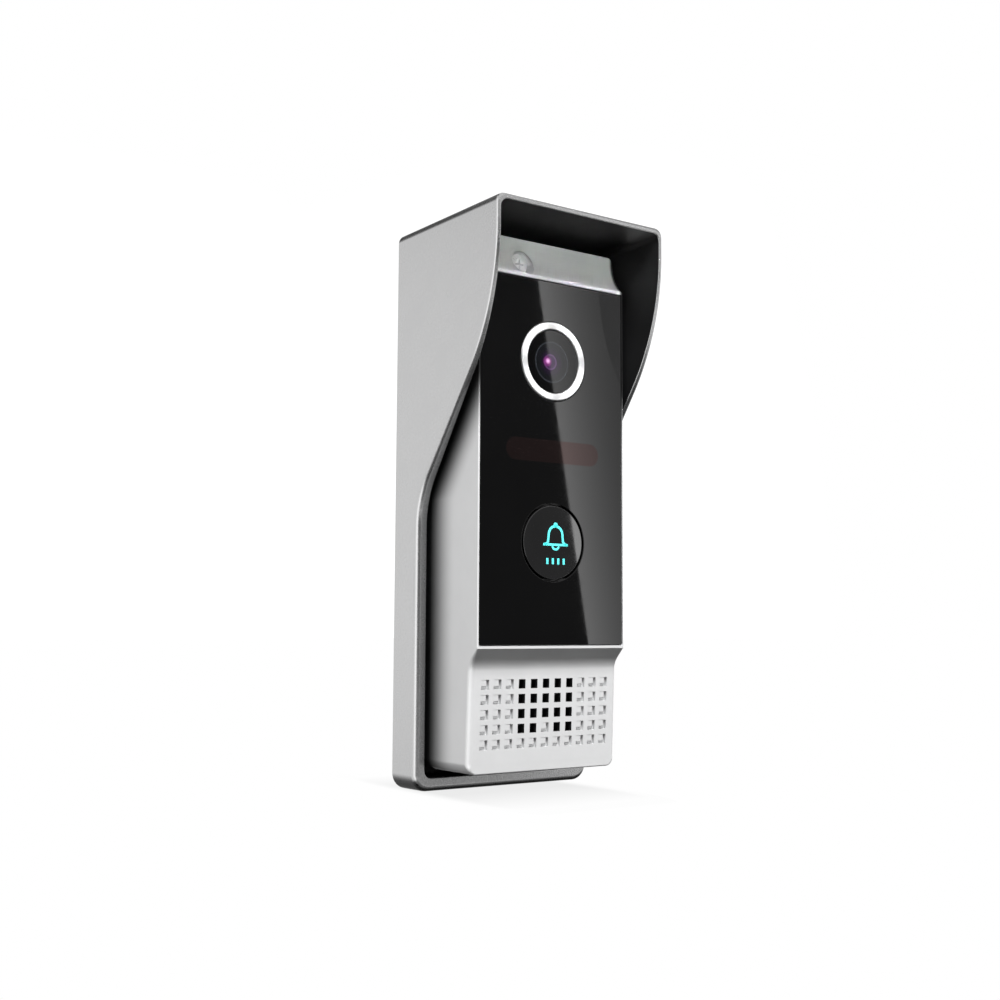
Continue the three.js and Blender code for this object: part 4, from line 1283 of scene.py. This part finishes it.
# ---- assembly

for subpart in frame["record"]["subparts"]:
    materials = frame["nodes"][subpart["node"]].data.materials
    materials.clear()
    materials.append(SLOT_FINISHES[subpart["material_slot"]])

settle(make_hood(), "station", ["rain_hood"], [hood_paint, hood_inside])
settle(make_housing(), "station", ["front_housing"], [housing_paint_with_painted_shade, black_plastic])
settle(make_panel(), "station", ["front_panel"], [panel_acrylic])
settle(make_filter(), "station", [], [filter_acrylic])
settle(make_ring(), "station", ["lens_ring"], [SLOT_FINISHES["chrome_trim"]])
settle(make_window(), "station", ["lens_window"], [cover_glass()])
settle(make_button(), "button", ["call_button"], [button_acrylic])
settle(make_sign(), "button", [], [glow("cyan_glow", (0.09, 0.64, 0.63), 0.58)])
settle(make_screw(), "station", ["fixing_screw"], [screw_metal])

# ---- floor, light and camera

FLOOR_DROP = 0.8
WORLD_FRONT = 0.1
WORLD_BEHIND = 1.3
WORLD_BESIDE = 1.15
WORLD_BOUNCE = 0.36
WORLD_BELOW = 0.08
GLOSS_FRONT = 0.9
GLOSS_LEFT = 1.9
GLOSS_LOW = 0.72
GLOSS_TOP = 0.85


def seen_only_by(obj, ray):
    for kind in ("camera", "diffuse", "glossy", "shadow"):
        setattr(obj, "visible_" + kind, kind == ray)


def make_floor():
    """Large white floor just under the hood, with a painted reflection of the part's foot: faintly
    darker near it.
    """
    size = 3000.0
    z = HOOD_LOW.z - FLOOR_DROP
    corners = [(-size, -size, z), (size, -size, z), (size, size, z), (-size, size, z)]
    floor = new_object("floor", corners, [(0, 1, 2, 3)])
    floor.data.transform(Matrix.Scale(MM, 4))
    nodes = Nodes("floor")
    x, y, _ = nodes.axes()
    across = nodes.math("SUBTRACT", nodes.math("ABSOLUTE", x), (HOOD_HALF - 8) * MM)
    across = nodes.math("MULTIPLY", nodes.math("MAXIMUM", across, 0.0), 6.0)
    forward = nodes.math("SUBTRACT", nodes.math("ABSOLUTE", nodes.math("ADD", y, 0.005)), 0.005)
    away = length_of(nodes, across, nodes.math("MAXIMUM", forward, 0.0))
    speckle = nodes.spread(nodes.noise(60.0, detail=2.0), 0.985, 1.0)
    # painted reflection: the floor darkens to 84% close to the part's foot
    painted_reflection = nodes.math("MULTIPLY", nodes.spread(away, 0.84, 1.0, 0.002, 0.031), speckle)
    edge = nodes.spread(away, 0.0, 1.0, 0.02, 0.04)
    nodes.emit(nodes.math("MAXIMUM", painted_reflection, edge))
    floor.data.materials.append(nodes.owner)
    seen_only_by(floor, "camera")


def make_world():
    """White backdrop. As light, bright behind and beside the part, and dim in front and below."""
    nodes = Nodes("studio", bpy.data.worlds)
    bpy.context.scene.world = nodes.owner
    parts = nodes.add("ShaderNodeSeparateXYZ")
    nodes.link(nodes.add("ShaderNodeTexCoord").outputs["Generated"], parts.inputs[0])
    x, y, z = parts.outputs

    def ramp(source, start, end, low=0.0, high=1.0):
        return nodes.spread(source, low, high, start, end, "SMOOTHSTEP")

    def times(*sources):
        return nodes.math("MULTIPLY", *sources)

    above_floor = ramp(z, -0.5, -0.05, WORLD_BELOW, 1.0)
    dark_band = times(ramp(z, 0.28, 0.52), ramp(z, 0.8, 0.62))
    behind = times(
        ramp(y, 0.05, 1.0, WORLD_FRONT, WORLD_BEHIND),
        ramp(nodes.math("ABSOLUTE", x), 0.42, 0.66, 0.82, 1.08),
        ramp(dark_band, 0.0, 1.0, 1.0, 0.03), above_floor,
    )
    left = times(ramp(x, -0.5, -0.85, 0.0, WORLD_BESIDE), ramp(y, -0.8, -0.55),
                 ramp(z, -0.62, -0.45))
    right = times(ramp(x, 0.78, 1.0, 0.0, WORLD_BESIDE), ramp(y, -0.6, -0.3), above_floor)
    bounce = times(ramp(z, -0.08, -0.15, 0.0, WORLD_BOUNCE), ramp(z, -0.45, -0.3))
    light = nodes.math("MAXIMUM", behind, left, right, bounce)
    rays = nodes.add("ShaderNodeLightPath").outputs
    high_front = times(ramp(z, 0.25, 0.34, 0.0, GLOSS_FRONT), ramp(y, -0.3, -0.6))
    left_strip = times(ramp(x, -0.5, -0.75, 0.0, GLOSS_LEFT), ramp(y, -0.8, -0.6),
                       ramp(y, 0.0, -0.2), ramp(z, -0.62, -0.5))
    low_front = times(ramp(z, -0.09, -0.15, 0.0, GLOSS_LOW), ramp(z, -0.45, -0.3, 0.25, 1.0),
                      ramp(y, -0.3, -0.6))
    overhead = ramp(z, 0.66, 0.84, 0.0, GLOSS_TOP)
    cards = nodes.math("MAXIMUM", high_front, left_strip, low_front, overhead)
    gloss = times(cards, rays["Is Glossy Ray"])
    strength = nodes.math("MAXIMUM", light, gloss, rays["Is Camera Ray"])
    background = nodes.tree.nodes["Background"]
    background.inputs["Color"].default_value = (1.0, 1.0, 1.0, 1.0)
    nodes.link(strength, background.inputs["Strength"])


def area_light(name, place, target, width, height, power, spread=180):
    data = bpy.data.lights.new(name, "AREA")
    data.shape = "RECTANGLE"
    data.size, data.size_y = width * MM, height * MM
    data.energy = power
    data.spread = math.radians(spread)
    light = in_scene(name, data)
    light.location = Vector(place) * MM
    direction = Vector(target) * MM - light.location
    light.rotation_euler = direction.to_track_quat("-Z", "Y").to_euler()
    light.visible_glossy = False
    return light


CAMERA_AT = Vector((-190.56, -272.26, -27.91))
CAMERA_YAW = 35.698
CAMERA_PITCH = 5.349
CAMERA_ROLL = 0.304
CAMERA_LENS = 48.006
CAMERA_SENSOR = 36.0
CARD_FADE = 0.034
CARD_POWER = 2.2
CARD_GAIN = 2.1
CARD_BASE = 0.75


def make_camera():
    yaw, pitch, roll = (math.radians(a) for a in (CAMERA_YAW, CAMERA_PITCH, CAMERA_ROLL))
    level = math.cos(pitch)
    ahead = Vector((math.sin(yaw) * level, math.cos(yaw) * level, math.sin(pitch)))
    right = Vector((math.cos(yaw), -math.sin(yaw), 0))
    up = right.cross(ahead)
    tilted_right = right * math.cos(roll) + up * math.sin(roll)
    tilted_up = up * math.cos(roll) - right * math.sin(roll)
    camera = in_scene("camera", bpy.data.cameras.new("camera"))
    turn = Matrix((tilted_right, tilted_up, -ahead)).transposed().to_4x4()
    camera.matrix_world = Matrix.Translation(CAMERA_AT * MM) @ turn
    camera.data.lens = CAMERA_LENS
    camera.data.sensor_width = CAMERA_SENSOR
    camera.data.clip_start = 0.01
    camera.data.clip_end = 20.0
    bpy.context.scene.camera = camera


def mirrored(point):
    """A point's image in the plane of the black panel."""
    return Vector((point.x, 2 * PANEL_FRONT - point.y, point.z))


def make_card():
    """Upright bright card whose left edge crosses the black panel's reflection."""
    eye = mirrored(CAMERA_AT)
    top = Vector((-4.6, PANEL_FRONT, PANEL_HIGH.z))
    foot = Vector((10.6, PANEL_FRONT, PANEL_LOW.z))
    reach = 2.0
    corner_top = eye + (top - eye) * reach
    corner_foot = eye + (foot - eye) * reach
    run = (corner_top - corner_foot).normalized()
    across = Vector((math.cos(math.radians(CAMERA_YAW)), math.sin(math.radians(CAMERA_YAW)), 0))
    width, extra = 220.0, 60.0
    near = [corner_foot - run * extra, corner_top + run * extra]
    far = [p + across * width for p in near]
    card = new_object("card", [near[0], near[1], far[1], far[0]], [(0, 1, 2, 3)])
    card.data.transform(Matrix.Scale(MM, 4))
    nodes = Nodes("card")
    x, _, z = nodes.axes()
    lean = (corner_foot.x - corner_top.x) / (corner_foot.z - corner_top.z)
    upright = nodes.math("SUBTRACT", x, nodes.math("MULTIPLY", z, lean))
    start = (corner_top.x - corner_top.z * lean) * MM
    fade = nodes.spread(upright, 1.0, 0.0, start, start + CARD_FADE)
    fade = nodes.math("MULTIPLY", nodes.math("POWER", fade, CARD_POWER), CARD_GAIN)
    fade = nodes.math("ADD", fade, CARD_BASE)
    nodes.emit(fade)
    card.data.materials.append(nodes.owner)
    seen_only_by(card, "glossy")


def make_wall_card():
    """Dim reflector over the hood's right inner wall, seen only in the black panel's gloss."""
    inner_half = HOOD_HALF - TRAY_WALL
    widening = LIP_HALF - LIP_WALL - inner_half

    def on_wall(y, z):
        return (inner_half + widening * -y / HOOD_DEPTH - 0.05, y, z)

    upper = [(y - 0.15, z) for z, y in side_edge() if y < UNIT_FRONT]
    upper.append((-0.15 - HOOD_DEPTH, HOOD_ROOF - ROOF_WALL))
    vertices = [on_wall(y, z) for y, z in upper] + [on_wall(UNIT_FRONT, z) for _, z in upper]
    count = len(upper)
    faces = [(i, i + 1, count + i + 1, count + i) for i in range(count - 1)]
    card = new_object("wall_card", vertices, faces)
    card.data.transform(Matrix.Scale(MM, 4))
    nodes = Nodes("wall_card")
    lamp = nodes.emit(nodes.spread(nodes.noise(30.0), 0.65, 0.75))
    mix = nodes.add("ShaderNodeMixShader")
    nodes.link(nodes.add("ShaderNodeNewGeometry").outputs["Backfacing"], mix.inputs[0])
    nodes.link(nodes.add("ShaderNodeBsdfTransparent").outputs[0], mix.inputs[1])
    nodes.link(lamp.outputs[0], mix.inputs[2])
    nodes.show(mix)
    card.data.materials.append(nodes.owner)
    seen_only_by(card, "glossy")


make_floor()
make_world()
make_camera()
make_card()
make_wall_card()
area_light("key", (-60, -470, 670), (0, -20, 0), 320, 320, 18.8)
area_light("flange_fill", (-150, -700, 130), (0, -26, 60), 90, 30, 0.0102, spread=8)

bpy.context.scene.view_settings.view_transform = "Standard"
